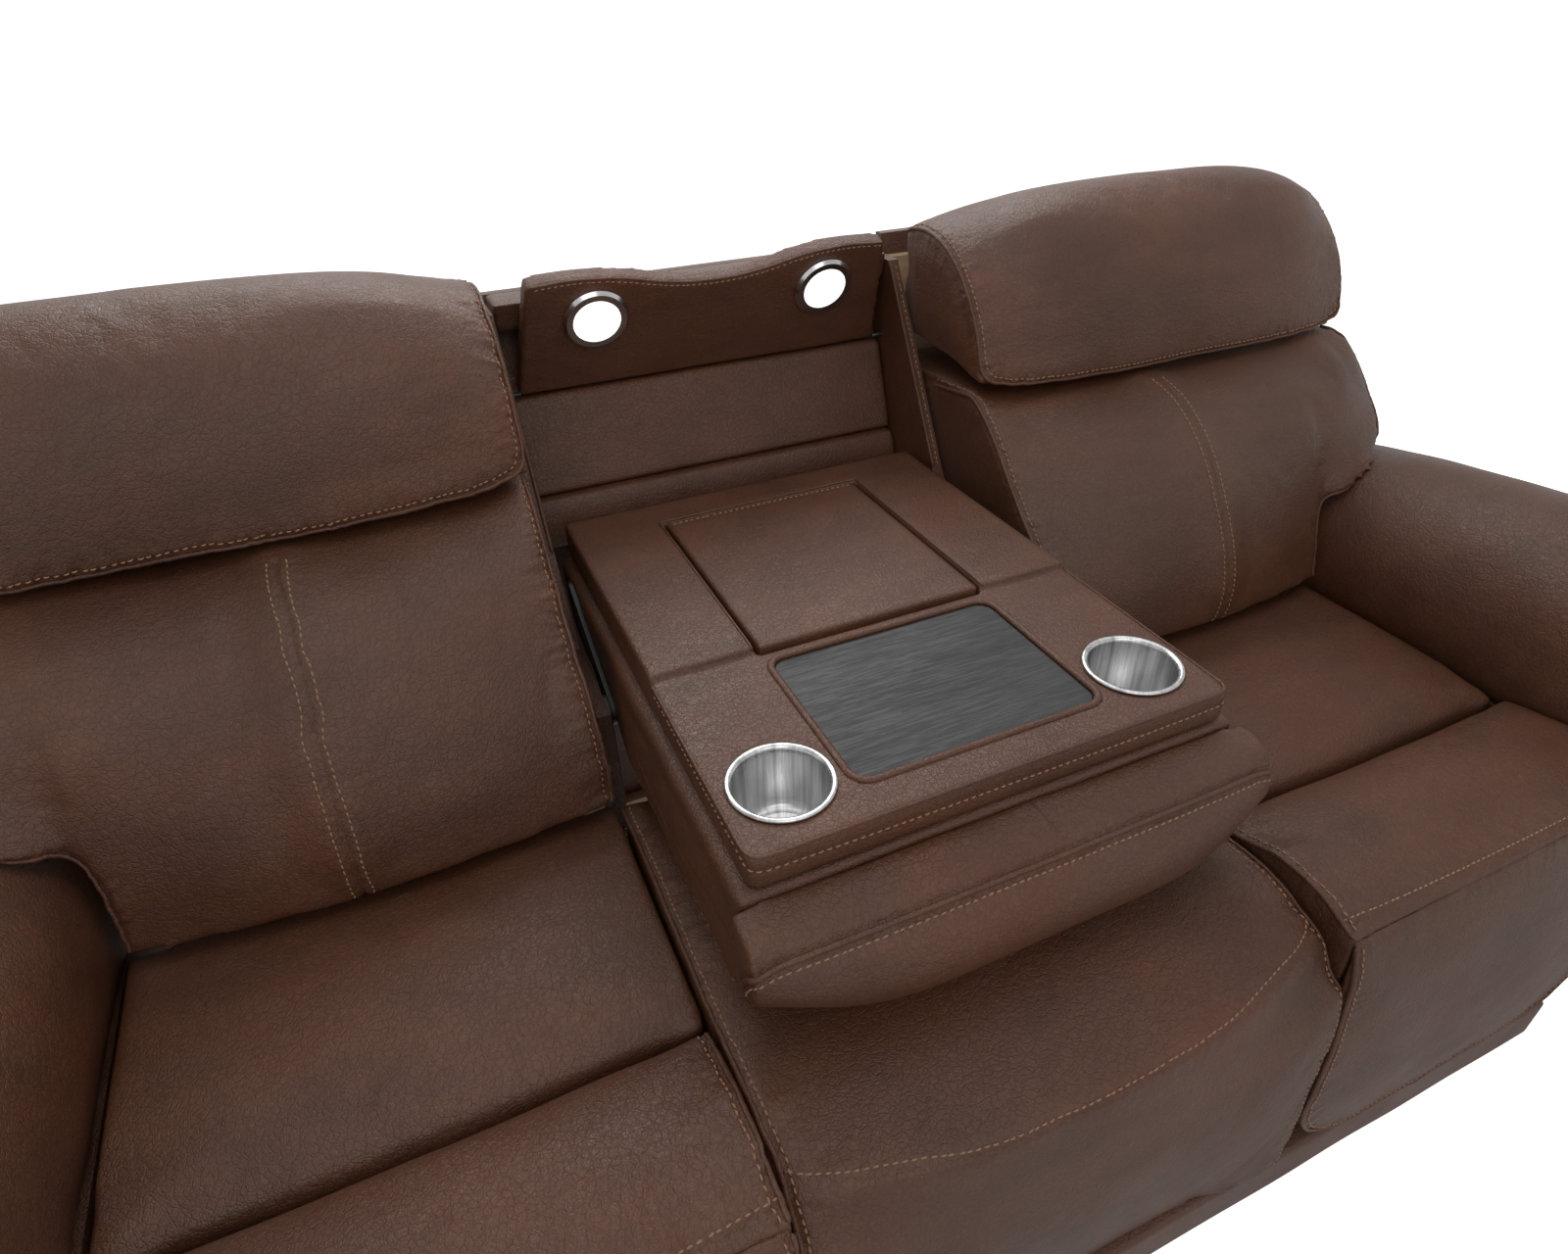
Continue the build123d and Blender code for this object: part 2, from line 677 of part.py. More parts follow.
with BuildPart() as footrest_front_link:
    link_pair(front_link_x, link_knee, footrest_pivot)
write_pair("footrest_front_link", footrest_front_link.part)

with BuildPart() as footrest:
    footrest_low_z = skirt_top_z + footrest_low_gap
    for share, full in across_stations:
        draw = footrest_end_draw * (1 - full)
        nose_y = footrest_rear_y - footrest_edge + draw
        low_z = footrest_low_z + draw
        high_z = footrest_low_z + footrest_height - draw
        corners = [(nose_y, low_z), (footrest_rear_y, low_z), (footrest_rear_y, high_z), (nose_y, high_z)]
        with BuildSketch(Plane.YZ.offset(seat_x[0] + (seat_x[1] - seat_x[0]) * share)):
            bowed_outline(corners, [0, 0, 0, footrest_crown * (0.3 + 0.7 * full)])
    loft()
    plate_root = (footrest_rear_y - link_pin_radius, footrest_pivot_z)
    for low_x in paired_x(footrest_plate_x, link_thickness):
        ends = (footrest_pivot, plate_root)
        round_ended_plate(low_x, link_thickness, *ends, link_half_width, link_half_width)
        side_disc(low_x, link_thickness, *footrest_pivot, link_bore_radius, mode=Mode.SUBTRACT)
write_pair("footrest", footrest.part)

# Linear motors hang under the outer seat frames.
with BuildPart() as actuators:
    motor_y = (motor_rear_y - motor_length, motor_rear_y)
    motor_z = (deck_z[0] - motor_drop - motor_height, deck_z[0] - motor_drop)
    strap_y = (motor_rear_y - motor_length / 2, motor_rear_y - motor_length / 2 + motor_strap_length)
    for x in (-seat_middle_x, seat_middle_x):
        block((x - motor_width / 2, x + motor_width / 2), motor_y, motor_z)
        with BuildSketch(Plane.XZ.offset(-motor_y[0])):
            with Locations((x, sum(motor_z) / 2)):
                Circle(motor_rod_radius)
        extrude(amount=motor_rod_length)
        block((x - motor_strap / 2, x + motor_strap / 2), strap_y, (motor_z[1], deck_z[0]))
write("actuators", actuators.part)

# ---------------------------------------------------------------- recess behind the console
with BuildPart() as middle_rear_cover:
    cover_half_width = seat_division_x - back_side_gap
    back_slab((-cover_half_width, cover_half_width), (back_hang_z, middle_back_top_z), (0, cover_thickness))
write("middle_rear_cover", middle_rear_cover.part)

with BuildPart() as recess_side:
    rear_heights = (deck_top_z, rear_foot_z, recess_side_high[1])
    outline = [(recess_side_front_y, deck_top_z)]
    outline += [(rear_y(z, cover_thickness), z) for z in rear_heights]
    outline += [recess_side_high, recess_side_low, recess_side_step]
    outline += [(recess_side_front_y, recess_side_step[1])]
    side_plate(recess_side_inner_x, board, outline)
    light_bore = (light_pin_y, light_pin_z, light_pin_radius + pin_clearance)
    side_disc(recess_side_inner_x, board, *light_bore, mode=Mode.SUBTRACT)
write_pair("recess_side", recess_side.part)


def recess_pad(front_low, front_high, bow, top_bow=0.0):
    """A padded strip across the recess, between a front edge line and the outside back."""
    behind = cover_thickness + soft_gap
    corners = [front_low, (rear_y(front_low[1], behind), front_low[1])]
    corners += [(rear_y(front_high[1], behind), front_high[1]), front_high]
    with BuildSketch(Plane.YZ.offset(-recess_half_width)) as profile:
        bowed_outline(corners, [0, 0, top_bow, bow])
    extrude(profile.sketch, amount=2 * recess_half_width)


with BuildPart() as recess_roll:
    roll_high = (recess_back_front_y - recess_roll_lean, recess_roll_top_z)
    recess_pad((recess_roll_front_y, recess_roll_low_z), roll_high, recess_roll_bow)
write("recess_roll", recess_roll.part)

with BuildPart() as recess_back:
    back_low = (recess_back_front_y, recess_roll_top_z + soft_gap)
    recess_pad(back_low, (light_edge_y, recess_back_top_z), 0)
    top_edges = recess_back.edges().filter_by(Axis.X).group_by(Axis.Z)[-1]
    fillet(top_edges.sort_by(Axis.Y)[0], recess_back_round)
write("recess_back", recess_back.part)

with BuildPart() as top_rail:
    rail_foot = (top_rail_front_y + top_rail_slant, top_rail_low_z)
    recess_pad(rail_foot, (top_rail_front_y, middle_back_top_z), 0, top_rail_crown)
write("top_rail", top_rail.part)

# ---------------------------------------------------------------- light panel
light_front = (0, -light_up_z, light_up_y)
light_plane = Plane(origin=(0, light_edge_y, light_edge_z), x_dir=(1, 0, 0), z_dir=light_front)
light_places = ((-light_x, light_up), (light_x, light_up))

with BuildPart() as light_panel:
    low_x = recess_side_inner_x - light_panel_end_gap
    high_x = low_x - light_panel_taper
    crest = (light_x, light_panel_height + light_panel_wave)
    dip_up = light_panel_height - light_panel_dip / 2
    with BuildSketch(light_plane):
        with BuildLine():
            Line((low_x, 0), (high_x, light_panel_height))
            ThreePointArc((high_x, light_panel_height), crest, (light_dip_x, dip_up))
            mirror(about=Plane.YZ)
            Line((-low_x, 0), (low_x, 0))
            dip = (0, light_panel_height - light_panel_dip)
            ThreePointArc((light_dip_x, dip_up), dip, (-light_dip_x, dip_up))
        make_face()
    extrude(amount=-light_panel_thickness)
    pin_half_length = recess_side_inner_x + board / 2
    side_disc(-pin_half_length, 2 * pin_half_length, light_pin_y, light_pin_z, light_pin_radius)
write("light_panel", light_panel.part)

with BuildPart() as light_rims:
    with BuildSketch(light_plane):
        with Locations(*light_places):
            Circle(light_rim_radius)
            Circle(light_lens_radius + soft_gap, mode=Mode.SUBTRACT)
    extrude(amount=light_rim_height)
    outer_edges = light_rims.edges().filter_by(GeomType.CIRCLE).group_by(SortBy.RADIUS)[-1]
    chamfer(outer_edges.sort_by(Axis.Y)[:2], light_rim_chamfer)
write("light_rims", light_rims.part)

with BuildPart() as light_lenses:
    lens = (0, light_lens_height, light_lens_radius)
    dot = (light_lens_height, light_dot_height, light_dot_radius)
    for low, height, radius in (lens, dot):
        with BuildSketch(light_plane.offset(low)):
            with Locations(*light_places):
                Circle(radius)
        extrude(amount=height)
write("light_lenses", light_lenses.part)

# ---------------------------------------------------------------- console
opening_x = lid_half_width + lid_side_gap
opening_y = (console_seam_y - lid_front_gap, lid_rear_y + soft_gap)
tray_middle_y = (tray_front_y + tray_rear_y) / 2
tray_low_z = console_top_z - tray_thickness - tray_sunk
cup_places = ((-cup_x, cup_y), (cup_x, cup_y))

with BuildPart() as console_top:
    top_x = (-console_half_width, console_half_width)
    block(top_x, (console_front_y, console_rear_y), (lip_low_z, console_top_z))
    fillet(console_top.edges().filter_by(Axis.Z).group_by(Axis.Y)[0], console_corner)
    block(top_x, (console_seam_y, console_rear_y), (console_top_z, lid_top_z))
    fillet(console_top.edges().group_by(Axis.Z)[-1], console_raise / 2)
    block((-opening_x, opening_x), opening_y, (lip_low_z, lid_top_z), mode=Mode.SUBTRACT)
    with BuildSketch(Plane.XY.offset(tray_low_z)):
        with Locations((0, tray_middle_y)):
            tray_bed = (2 * (tray_half_width + soft_gap), tray_rear_y - tray_front_y + 2 * soft_gap)
            RectangleRounded(*tray_bed, tray_corner + soft_gap)
    extrude(amount=console_top_z - tray_low_z, mode=Mode.SUBTRACT)
    with BuildSketch(Plane.XY.offset(lip_low_z)):
        with Locations(*cup_places):
            Circle(cup_outer_radius + soft_gap)
    extrude(amount=console_lip, mode=Mode.SUBTRACT)
write("console_top", console_top.part)

# The padded box under the top: it is the back cushion when the console is folded up.
with BuildPart() as console_body:
    body_z = (lip_low_z - soft_gap - body_height, lip_low_z - soft_gap)
    body_front_y = console_front_y - body_front_gap
    round_start = (console_rear_y - body_rear_round, body_z[0])
    round_end = (console_rear_y, body_z[0] + body_rear_round)
    with BuildSketch(Plane.YZ.offset(-body_half_width)):
        with BuildLine():
            RadiusArc(round_start, round_end, -body_rear_round)
            Line(round_end, (console_rear_y, body_z[1]))
            Line((console_rear_y, body_z[1]), (body_front_y, body_z[1]))
            Line((body_front_y, body_z[1]), (body_front_y, body_z[0]))
            Line((body_front_y, body_z[0]), round_start)
        make_face()
    extrude(amount=2 * body_half_width)
    fillet(console_body.edges().filter_by(Axis.Y).group_by(Axis.Z)[0], body_edge_round)
    block((-opening_x, opening_x), opening_y, (bin_floor_z, body_z[1]), mode=Mode.SUBTRACT)
    with BuildSketch(Plane.XY.offset(cup_floor_z)):
        with Locations(*cup_places):
            Circle(cup_outer_radius + 2 * soft_gap)
    extrude(amount=body_z[1] - cup_floor_z, mode=Mode.SUBTRACT)
write("console_body", console_body.part)

with BuildPart() as console_roll:
    roll_rear_y = body_front_y - soft_gap
    for share, full in across_stations:
        end = 1 - full
        nose_in, nose_up, brow_in, brow_up = [draw * end for draw in roll_end_draw]
        corners = [
            (console_front_y - roll_nose[0] + nose_in, console_top_z - roll_nose[1] + nose_up),
            (roll_rear_y, console_top_z - roll_rear_drop),
            (roll_rear_y, console_top_z - roll_rear_rise - brow_up / 2),
            (console_front_y - roll_brow[0] + brow_in, console_top_z - roll_brow[1] + brow_up),
        ]
        with BuildSketch(Plane.YZ.offset((body_half_width + roll_overhang) * (2 * share - 1))):
            bowed_outline(corners, [4 + 4 * full, 0, 4, 8 + 18 * full])
    loft()
write("console_roll", console_roll.part)

with BuildPart() as storage_bin:
    bin_y = (opening_y[0] + soft_gap, lid_rear_y)
    bin_top_z = lid_low_z - soft_gap
    block((-bin_half_width, bin_half_width), bin_y, (bin_floor_z, bin_top_z))
    inner_x = bin_half_width - bin_wall
    inner_y = (bin_y[0] + bin_wall, bin_y[1] - bin_wall)
    block((-inner_x, inner_x), inner_y, (bin_floor_z + bin_wall, bin_top_z), mode=Mode.SUBTRACT)
write("storage_bin", storage_bin.part)

with BuildPart() as storage_lid:
    block((-lid_half_width, lid_half_width), (console_seam_y, lid_rear_y), (lid_low_z, lid_top_z))
    fillet(storage_lid.edges().group_by(Axis.Z)[-1].filter_by(Axis.Y), console_raise / 2)
write("storage_lid", storage_lid.part)

with BuildPart() as console_tray:
    with BuildSketch(Plane.XY.offset(tray_low_z)):
        with Locations((0, tray_middle_y)):
            RectangleRounded(2 * tray_half_width, tray_rear_y - tray_front_y, tray_corner)
    extrude(amount=tray_thickness)
    chamfer(console_tray.edges().group_by(Axis.Z)[-1], tray_chamfer)
write("console_tray", console_tray.part)

with BuildPart() as cup:
    cup_plane = Plane(origin=(cup_x, cup_y, cup_floor_z), x_dir=(1, 0, 0), z_dir=(0, -1, 0))
    with BuildSketch(cup_plane):
        with BuildLine():
            Polyline(
                (0, 0),
                (cup_outer_radius, 0),
                (cup_outer_radius, cup_depth),
                (cup_flange_radius, cup_depth),
                (cup_flange_radius - cup_wall, cup_depth + cup_flange),
                (cup_radius, cup_depth + cup_flange),
                (cup_radius, cup_wall),
                (0, cup_wall),
                close=True,
            )
        make_face()
    revolve(axis=Axis((cup_x, cup_y, 0), (0, 0, 1)))
write_pair("cup", cup.part)

# Swing plates on the console's sides, and the brackets that carry them on the recess sides.
console_pivot = (pivot_y, pivot_z)
hinge_eye_radius = console_pin_radius + swing_boss

with BuildPart() as console_links:
    far_end = (pivot_y + swing_reach[0], pivot_z + swing_reach[1])
    for low_x in (body_half_width, -body_half_width - swing_plate):
        round_ended_plate(low_x, swing_plate, console_pivot, far_end, hinge_eye_radius, swing_far_radius)
        bore_radius = console_pin_radius + pin_clearance
        side_disc(low_x, swing_plate, *console_pivot, bore_radius, mode=Mode.SUBTRACT)
write("console_links", console_links.part)

with BuildPart() as console_hinge_brackets:
    bracket_x = body_half_width + swing_plate + hinge_play
    foot_y = (pivot_y - bracket_foot_front, pivot_y + bracket_foot_rear)
    foot_z = (deck_top_z + bracket_foot_low, deck_top_z + bracket_foot_high)
    foot = [(foot_y[0], foot_z[0]), (foot_y[1], foot_z[0]), (foot_y[1], foot_z[1]), (foot_y[0], foot_z[1])]
    footed_plate(bracket_x, recess_side_inner_x - bracket_x, console_pivot, hinge_eye_radius, foot)
    pin_low_x = body_half_width + soft_gap
    side_disc(pin_low_x, bracket_x - pin_low_x, *console_pivot, console_pin_radius)
    mirror(about=Plane.YZ)
write("console_hinge_brackets", console_hinge_brackets.part)

# ---------------------------------------------------------------- switches on the arms
with BuildPart() as switch_plates:
    with BuildSketch(Plane.YZ.offset(arm_frame_outer_x)):
        with Locations((switch_y, switch_z)):
            RectangleRounded(switch_length, switch_height, switch_corner)
            Circle(button_radius + soft_gap, mode=Mode.SUBTRACT)
    extrude(amount=switch_thickness)
    mirror(about=Plane.YZ)
write("switch_plates", switch_plates.part)

with BuildPart() as recline_button:
    button_low_x = arm_frame_outer_x + button_travel + soft_gap
    button_length = switch_thickness + button_proud - button_travel - soft_gap
    side_disc(button_low_x, button_length, switch_y, switch_z, button_radius)
    chamfer(recline_button.edges().group_by(Axis.X)[-1], button_chamfer)
write_pair("recline_button", recline_button.part)
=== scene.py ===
"""The looks of a leather sofa with a drop down console: padding, seams, finishes, stage and camera.

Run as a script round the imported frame. Every size is in metres, in the frame's own axes: X across
the sofa, Y towards its back, Z up from the floor.
"""

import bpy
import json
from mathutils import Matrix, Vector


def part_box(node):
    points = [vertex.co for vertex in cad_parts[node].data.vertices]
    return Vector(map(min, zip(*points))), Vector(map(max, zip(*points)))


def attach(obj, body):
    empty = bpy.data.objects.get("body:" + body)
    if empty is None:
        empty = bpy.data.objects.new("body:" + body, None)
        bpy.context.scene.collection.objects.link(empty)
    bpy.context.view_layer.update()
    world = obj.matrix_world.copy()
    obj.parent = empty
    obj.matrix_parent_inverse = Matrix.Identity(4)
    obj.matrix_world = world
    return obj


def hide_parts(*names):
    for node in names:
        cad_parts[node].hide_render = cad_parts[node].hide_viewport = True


bl_info = {
    "name": "Sofa with drop down console",
    "version": (1, 0, 0),
    "blender": (4, 5, 0),
    "location": "View3D > Sidebar > Sofa",
    "description": "Dresses the frame of a reclining sofa in stitched leather padding",
    "category": "Add Mesh",
}

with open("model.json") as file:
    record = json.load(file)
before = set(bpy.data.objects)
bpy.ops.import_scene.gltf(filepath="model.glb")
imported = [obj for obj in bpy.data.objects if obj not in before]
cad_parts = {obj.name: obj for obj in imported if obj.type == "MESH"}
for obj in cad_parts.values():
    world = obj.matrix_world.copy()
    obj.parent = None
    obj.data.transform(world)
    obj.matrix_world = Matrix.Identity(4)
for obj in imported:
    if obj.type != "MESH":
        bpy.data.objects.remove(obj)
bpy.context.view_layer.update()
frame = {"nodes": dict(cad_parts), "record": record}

import copy
import heapq
import json
import math

import bmesh
import bpy
import numpy as np
from mathutils import Matrix, Vector
from mathutils.bvhtree import BVHTree

MM = 0.001
NODES = frame["nodes"]
NODE_BODY = {
    node: body for body, nodes in frame["record"]["behaviour"]["bodies"].items() for node in nodes
}
SIDES = {"right": 1, "left": -1}


# ---------------------------------------------------------------- properties
class SofaLeather(bpy.types.PropertyGroup):
    """Colours and grain of the leather."""

    brown: bpy.props.FloatVectorProperty(
        name="Leather", description="Main colour of the hide", subtype="COLOR", size=3, min=0, max=1,
        default=(0.104, 0.0385, 0.0178),
    )
    dark: bpy.props.FloatVectorProperty(
        name="Dark patches", description="Colour of the darker patches", subtype="COLOR", size=3,
        min=0, max=1, default=(0.070, 0.0238, 0.0105),
    )
    russet: bpy.props.FloatVectorProperty(
        name="Reddish patches", description="Colour of the reddish patches", subtype="COLOR", size=3,
        min=0, max=1, default=(0.118, 0.0385, 0.0158),
    )
    olive: bpy.props.FloatVectorProperty(
        name="Greyish patches", description="Colour of the greyish patches", subtype="COLOR", size=3,
        min=0, max=1, default=(0.092, 0.0450, 0.0250),
    )
    thread: bpy.props.FloatVectorProperty(
        name="Thread", description="Colour of the sewing thread", subtype="COLOR", size=3, min=0, max=1,
        default=(0.36, 0.190, 0.105),
    )
    grain: bpy.props.FloatProperty(
        name="Grain", description="Width of the cells of the grain", subtype="DISTANCE", unit="LENGTH",
        default=3.0 * MM,
    )


class SofaSewing(bpy.types.PropertyGroup):
    """Sizes of welts and stitches."""

    stitch: bpy.props.FloatProperty(
        name="Stitch", description="Length of a stitch", subtype="DISTANCE", unit="LENGTH", default=6.2 * MM
    )
    pitch: bpy.props.FloatProperty(
        name="Pitch", description="From one stitch to the next", subtype="DISTANCE", unit="LENGTH",
        default=8.0 * MM,
    )
    thread: bpy.props.FloatProperty(
        name="Thread", description="Thickness of the thread", subtype="DISTANCE", unit="LENGTH",
        default=1.9 * MM,
    )
    welt: bpy.props.FloatProperty(
        name="Welt", description="Half width of a folded welt", subtype="DISTANCE", unit="LENGTH",
        default=2.8 * MM,
    )


class SofaPadding(bpy.types.PropertyGroup):
    """How the cushions are stuffed."""

    pressure: bpy.props.FloatProperty(
        name="Pressure", description="Pressure of the stuffing on the cover", default=4.0, min=0
    )
    cap: bpy.props.FloatProperty(
        name="Cap", description="How far a point of the cover may rise", subtype="DISTANCE", unit="LENGTH",
        default=26.0 * MM,
    )
    steps: bpy.props.IntProperty(
        name="Steps", description="Steps that the cover has to settle", default=20, min=1
    )


class SofaStage(bpy.types.PropertyGroup):
    """Floor and light."""

    floor: bpy.props.FloatVectorProperty(
        name="Floor", description="Colour of the floor and backdrop", subtype="COLOR", size=3, min=0,
        max=1, default=(0.93, 0.93, 0.92),
    )
    sky: bpy.props.FloatProperty(
        name="Sky", description="Strength of the soft light from all round", default=0.95, min=0
    )
    lens: bpy.props.FloatProperty(
        name="Lens", description="Focal length of the camera, in millimetres", default=21.541
    )


# ---------------------------------------------------------------- points and lines
def mm(*points):
    """Points given in millimetres, as an array in metres."""
    return np.array(points, float).reshape(-1, 3) * MM


def mirrored(points, side):
    """Points of the right-hand side, on the side asked for."""
    return points * np.array((side, 1.0, 1.0))


def spread(points, step=2.0 * MM):
    """A smooth curve through the points, as points a step apart."""
    p = np.asarray(points, float)
    p = np.vstack((2 * p[:1] - p[1:2], p, 2 * p[-1:] - p[-2:-1]))
    t = np.linspace(0, 1, 24, endpoint=False)[:, None]
    parts = []
    for a, b, c, d in zip(p, p[1:], p[2:], p[3:]):
        parts.append(
            0.5 * (2 * b + (c - a) * t + (2 * a - 5 * b + 4 * c - d) * t**2 + (3 * b - a - 3 * c + d) * t**3)
        )
    dense = np.vstack(parts + [p[-2:-1]])
    return evenly(dense, step)


def evenly(points, step):
    """The same line with its points a step apart."""
    p = np.asarray(points, float)
    run = np.concatenate(([0], np.cumsum(np.linalg.norm(np.diff(p, axis=0), axis=1))))
    count = max(2, int(round(run[-1] / step)) + 1)
    at = np.linspace(0, run[-1], count)
    return np.stack([np.interp(at, run, p[:, k]) for k in range(3)], axis=1)


def eased(values, reach, rounds=2):
    """Values along a line, each the mean of its neighbours within reach points; the ends stay."""
    v = np.asarray(values, float)
    kernel = np.ones(2 * reach + 1) / (2 * reach + 1)
    for _ in range(rounds):
        first, last = v[:1], v[-1:]
        before = 2 * first - v[reach:0:-1]
        after = 2 * last - v[-2 : -reach - 2 : -1]
        padded_line = np.vstack((before, v, after))
        v = np.stack([np.convolve(padded_line[:, k], kernel, "valid") for k in range(v.shape[1])], axis=1)
    return v


def table(at, *pairs):
    """Amounts between pairs of a place and an amount: pairs in millimetres, places and result in metres."""
    places, amounts = np.array(pairs, float).T * MM
    return np.interp(at, places, amounts)


def slope(at, start, end):
    """A soft rise from 0 at the start to 1 at the end, which are in millimetres."""
    t = np.clip((at / MM - start) / (end - start), 0, 1)
    return t * t * (3 - 2 * t)


def unit(v):
    """Vectors made one long."""
    return v / np.maximum(np.linalg.norm(v, axis=-1, keepdims=True), 1e-12)


class Line:
    """A line that lies on a cover: points, outward normals, directions along and across it."""

    def __init__(self, points, normals):
        self.p = points
        self.t = unit(np.gradient(points, axis=0))
        n = normals - self.t * np.sum(normals * self.t, axis=1, keepdims=True)
        self.n = unit(n)
        self.b = np.cross(self.n, self.t)
        self.s = np.concatenate(([0], np.cumsum(np.linalg.norm(np.diff(points, axis=0), axis=1))))

    def beside(self, offset):
        """The line moved across itself."""
        return Line(self.p + self.b * offset, self.n)


def crisp_path(node, *stops):
    """The line along a node's crisp edges, in metres, past the stops given in millimetres."""
    bm = bmesh.new()
    bm.from_mesh(NODES[node].data)
    bmesh.ops.remove_doubles(bm, verts=bm.verts, dist=0.01 * MM)
    bm.normal_update()
    near = {}
    for e in bm.edges:
        if len(e.link_faces) == 2 and e.calc_face_angle(0) > math.radians(18):
            a, b = (v.index for v in e.verts)
            near.setdefault(a, []).append((b, e.calc_length()))
            near.setdefault(b, []).append((a, e.calc_length()))
    place = {v.index: v.co.copy() for v in bm.verts}
    bm.free()
    ends = [min(near, key=lambda i: (place[i] - Vector(stop) * MM).length) for stop in stops]
    path = [ends[0]]
    for start, end in zip(ends, ends[1:]):
        best, came, queue = {start: 0.0}, {}, [(0.0, start)]
        while queue:
            run, i = heapq.heappop(queue)
            if i == end:
                break
            for j, length in near[i]:
                if run + length < best.get(j, 1e9):
                    best[j], came[j] = run + length, i
                    heapq.heappush(queue, (run + length, j))
        leg = [end]
        while leg[-1] != start:
            leg.append(came[leg[-1]])
        path += leg[::-1][1:]
    return np.array([place[i] for i in path])


# ---------------------------------------------------------------- covers
class Cover:
    """The skin of a cushion or panel as arrays of points and four-sided faces."""

    def __init__(self, points, faces):
        self.v = np.asarray(points, float)
        self.f = faces
        self._tree = None

    def tree(self):
        """The skin, ready to be searched for its nearest point."""
        if self._tree is None:
            self._tree = BVHTree.FromPolygons(self.v.tolist(), self.f.tolist())
        return self._tree

    def moved(self):
        """Forgets the search tree once the points have moved."""
        self._tree = None

    def normals(self):
        """The points' outward normals."""
        a, b, c, d = (self.v[self.f[:, k]] for k in range(4))
        face = np.cross(c - a, d - b)
        n = np.zeros_like(self.v)
        for k in range(4):
            np.add.at(n, self.f[:, k], face)
        return unit(n)

    def edges(self):
        """Pairs of neighbouring points, each pair once."""
        pairs = np.vstack([self.f[:, [k, (k + 1) % 4]] for k in range(4)])
        pairs.sort(axis=1)
        return np.unique(pairs, axis=0)

    def smooth(self, rounds, share=0.5, keep=None):
        """Each point drawn towards its neighbours; keep holds some points, from 0 free to 1 still."""
        e = self.edges()
        count = np.bincount(e.ravel(), minlength=len(self.v))[:, None]
        weight = share if keep is None else share * (1 - keep[:, None])
        for _ in range(rounds):
            total = np.zeros_like(self.v)
            np.add.at(total, e[:, 0], self.v[e[:, 1]])
            np.add.at(total, e[:, 1], self.v[e[:, 0]])
            self.v += weight * (total / np.maximum(count, 1) - self.v)
        self.moved()
        return self

    def mirror(self):
        """The cover of the other side."""
        return Cover(self.v * np.array((-1.0, 1.0, 1.0)), self.f[:, ::-1].copy())

    def lay(self, points, ease=3):
        """A line along the skin, from points near it in metres."""
        line = spread(points)
        tree = self.tree()
        for _ in range(2):
            hits = [tree.find_nearest(Vector(p)) for p in line]
            line = eased(np.array([h[0] for h in hits]), ease, 1)
        hits = [tree.find_nearest(Vector(p)) for p in line]
        normals = unit(eased(np.array([h[1] for h in hits]), 2 * ease, 2))
        return Line(np.array([h[0] for h in hits]), normals)

    def onto(self, line):
        """A line brought down to the skin as it now is."""
        tree = self.tree()
        hits = [tree.find_nearest(Vector(p)) for p in line.p]
        normals = unit(eased(np.array([h[1] for h in hits]), 4, 2))
        points = eased(np.array([h[0] for h in hits]), 1, 1)
        return Line(points, normals)

    def soften(self, path, reach, rounds):
        """An edge of the net worn round, within reach of a path."""
        loose = held_by(self, [path], reach)
        self.smooth(rounds, 0.5, 1 - np.clip(loose * 1.6, 0, 1))

    def round_corner(self, axes, corner, radius):
        """A square corner pressed into a quarter circle; the corner is given along two of the axes."""
        a, b = axes
        way = np.sign(np.array(corner) - self.v.mean(0)[list(axes)])
        hub = np.array(corner) - way * radius
        u = (self.v[:, a] - hub[0]) * way[0] / radius
        w = (self.v[:, b] - hub[1]) * way[1] / radius
        inside = (u > 0) & (w > 0)
        cu, cw = np.clip(u, 0, 1.2), np.clip(w, 0, 1.2)
        u2 = u * np.sqrt(np.maximum(0.0, 1 - cw**2 / 2))
        w2 = w * np.sqrt(np.maximum(0.0, 1 - cu**2 / 2))
        self.v[inside, a] = (hub[0] + way[0] * radius * u2)[inside]
        self.v[inside, b] = (hub[1] + way[1] * radius * w2)[inside]
        self.moved()

    def near(self, line, reach):
        """Points of the skin within reach of a line: which, how far, which side, and where along it."""
        lo, hi = line.p.min(0) - reach, line.p.max(0) + reach
        found = np.nonzero(np.all((self.v > lo) & (self.v < hi), axis=1))[0]
        out = [(found[:0], *(np.zeros(0),) * 2, found[:0])]
        for part in np.array_split(found, max(1, len(found) // 4000)):
            gap = self.v[part][:, None, :] - line.p[None, :, :]
            square = np.einsum("ijk,ijk->ij", gap, gap)
            at = square.argmin(1)
            far = np.sqrt(square[np.arange(len(part)), at])
            keep = far < reach
            side = np.einsum("ij,ij->i", gap[np.arange(len(part)), at], line.b[at])
            out.append((part[keep], far[keep], side[keep], at[keep]))
        return [np.concatenate(x) for x in zip(*out)]

    def press(self, line, width, depth):
        """A groove along a line."""
        which, far, _, at = self.near(line, 3 * width)
        fade = np.exp(-((far / width) ** 2))
        self.v[which] -= line.n[at] * (depth * fade)[:, None]
        self.moved()

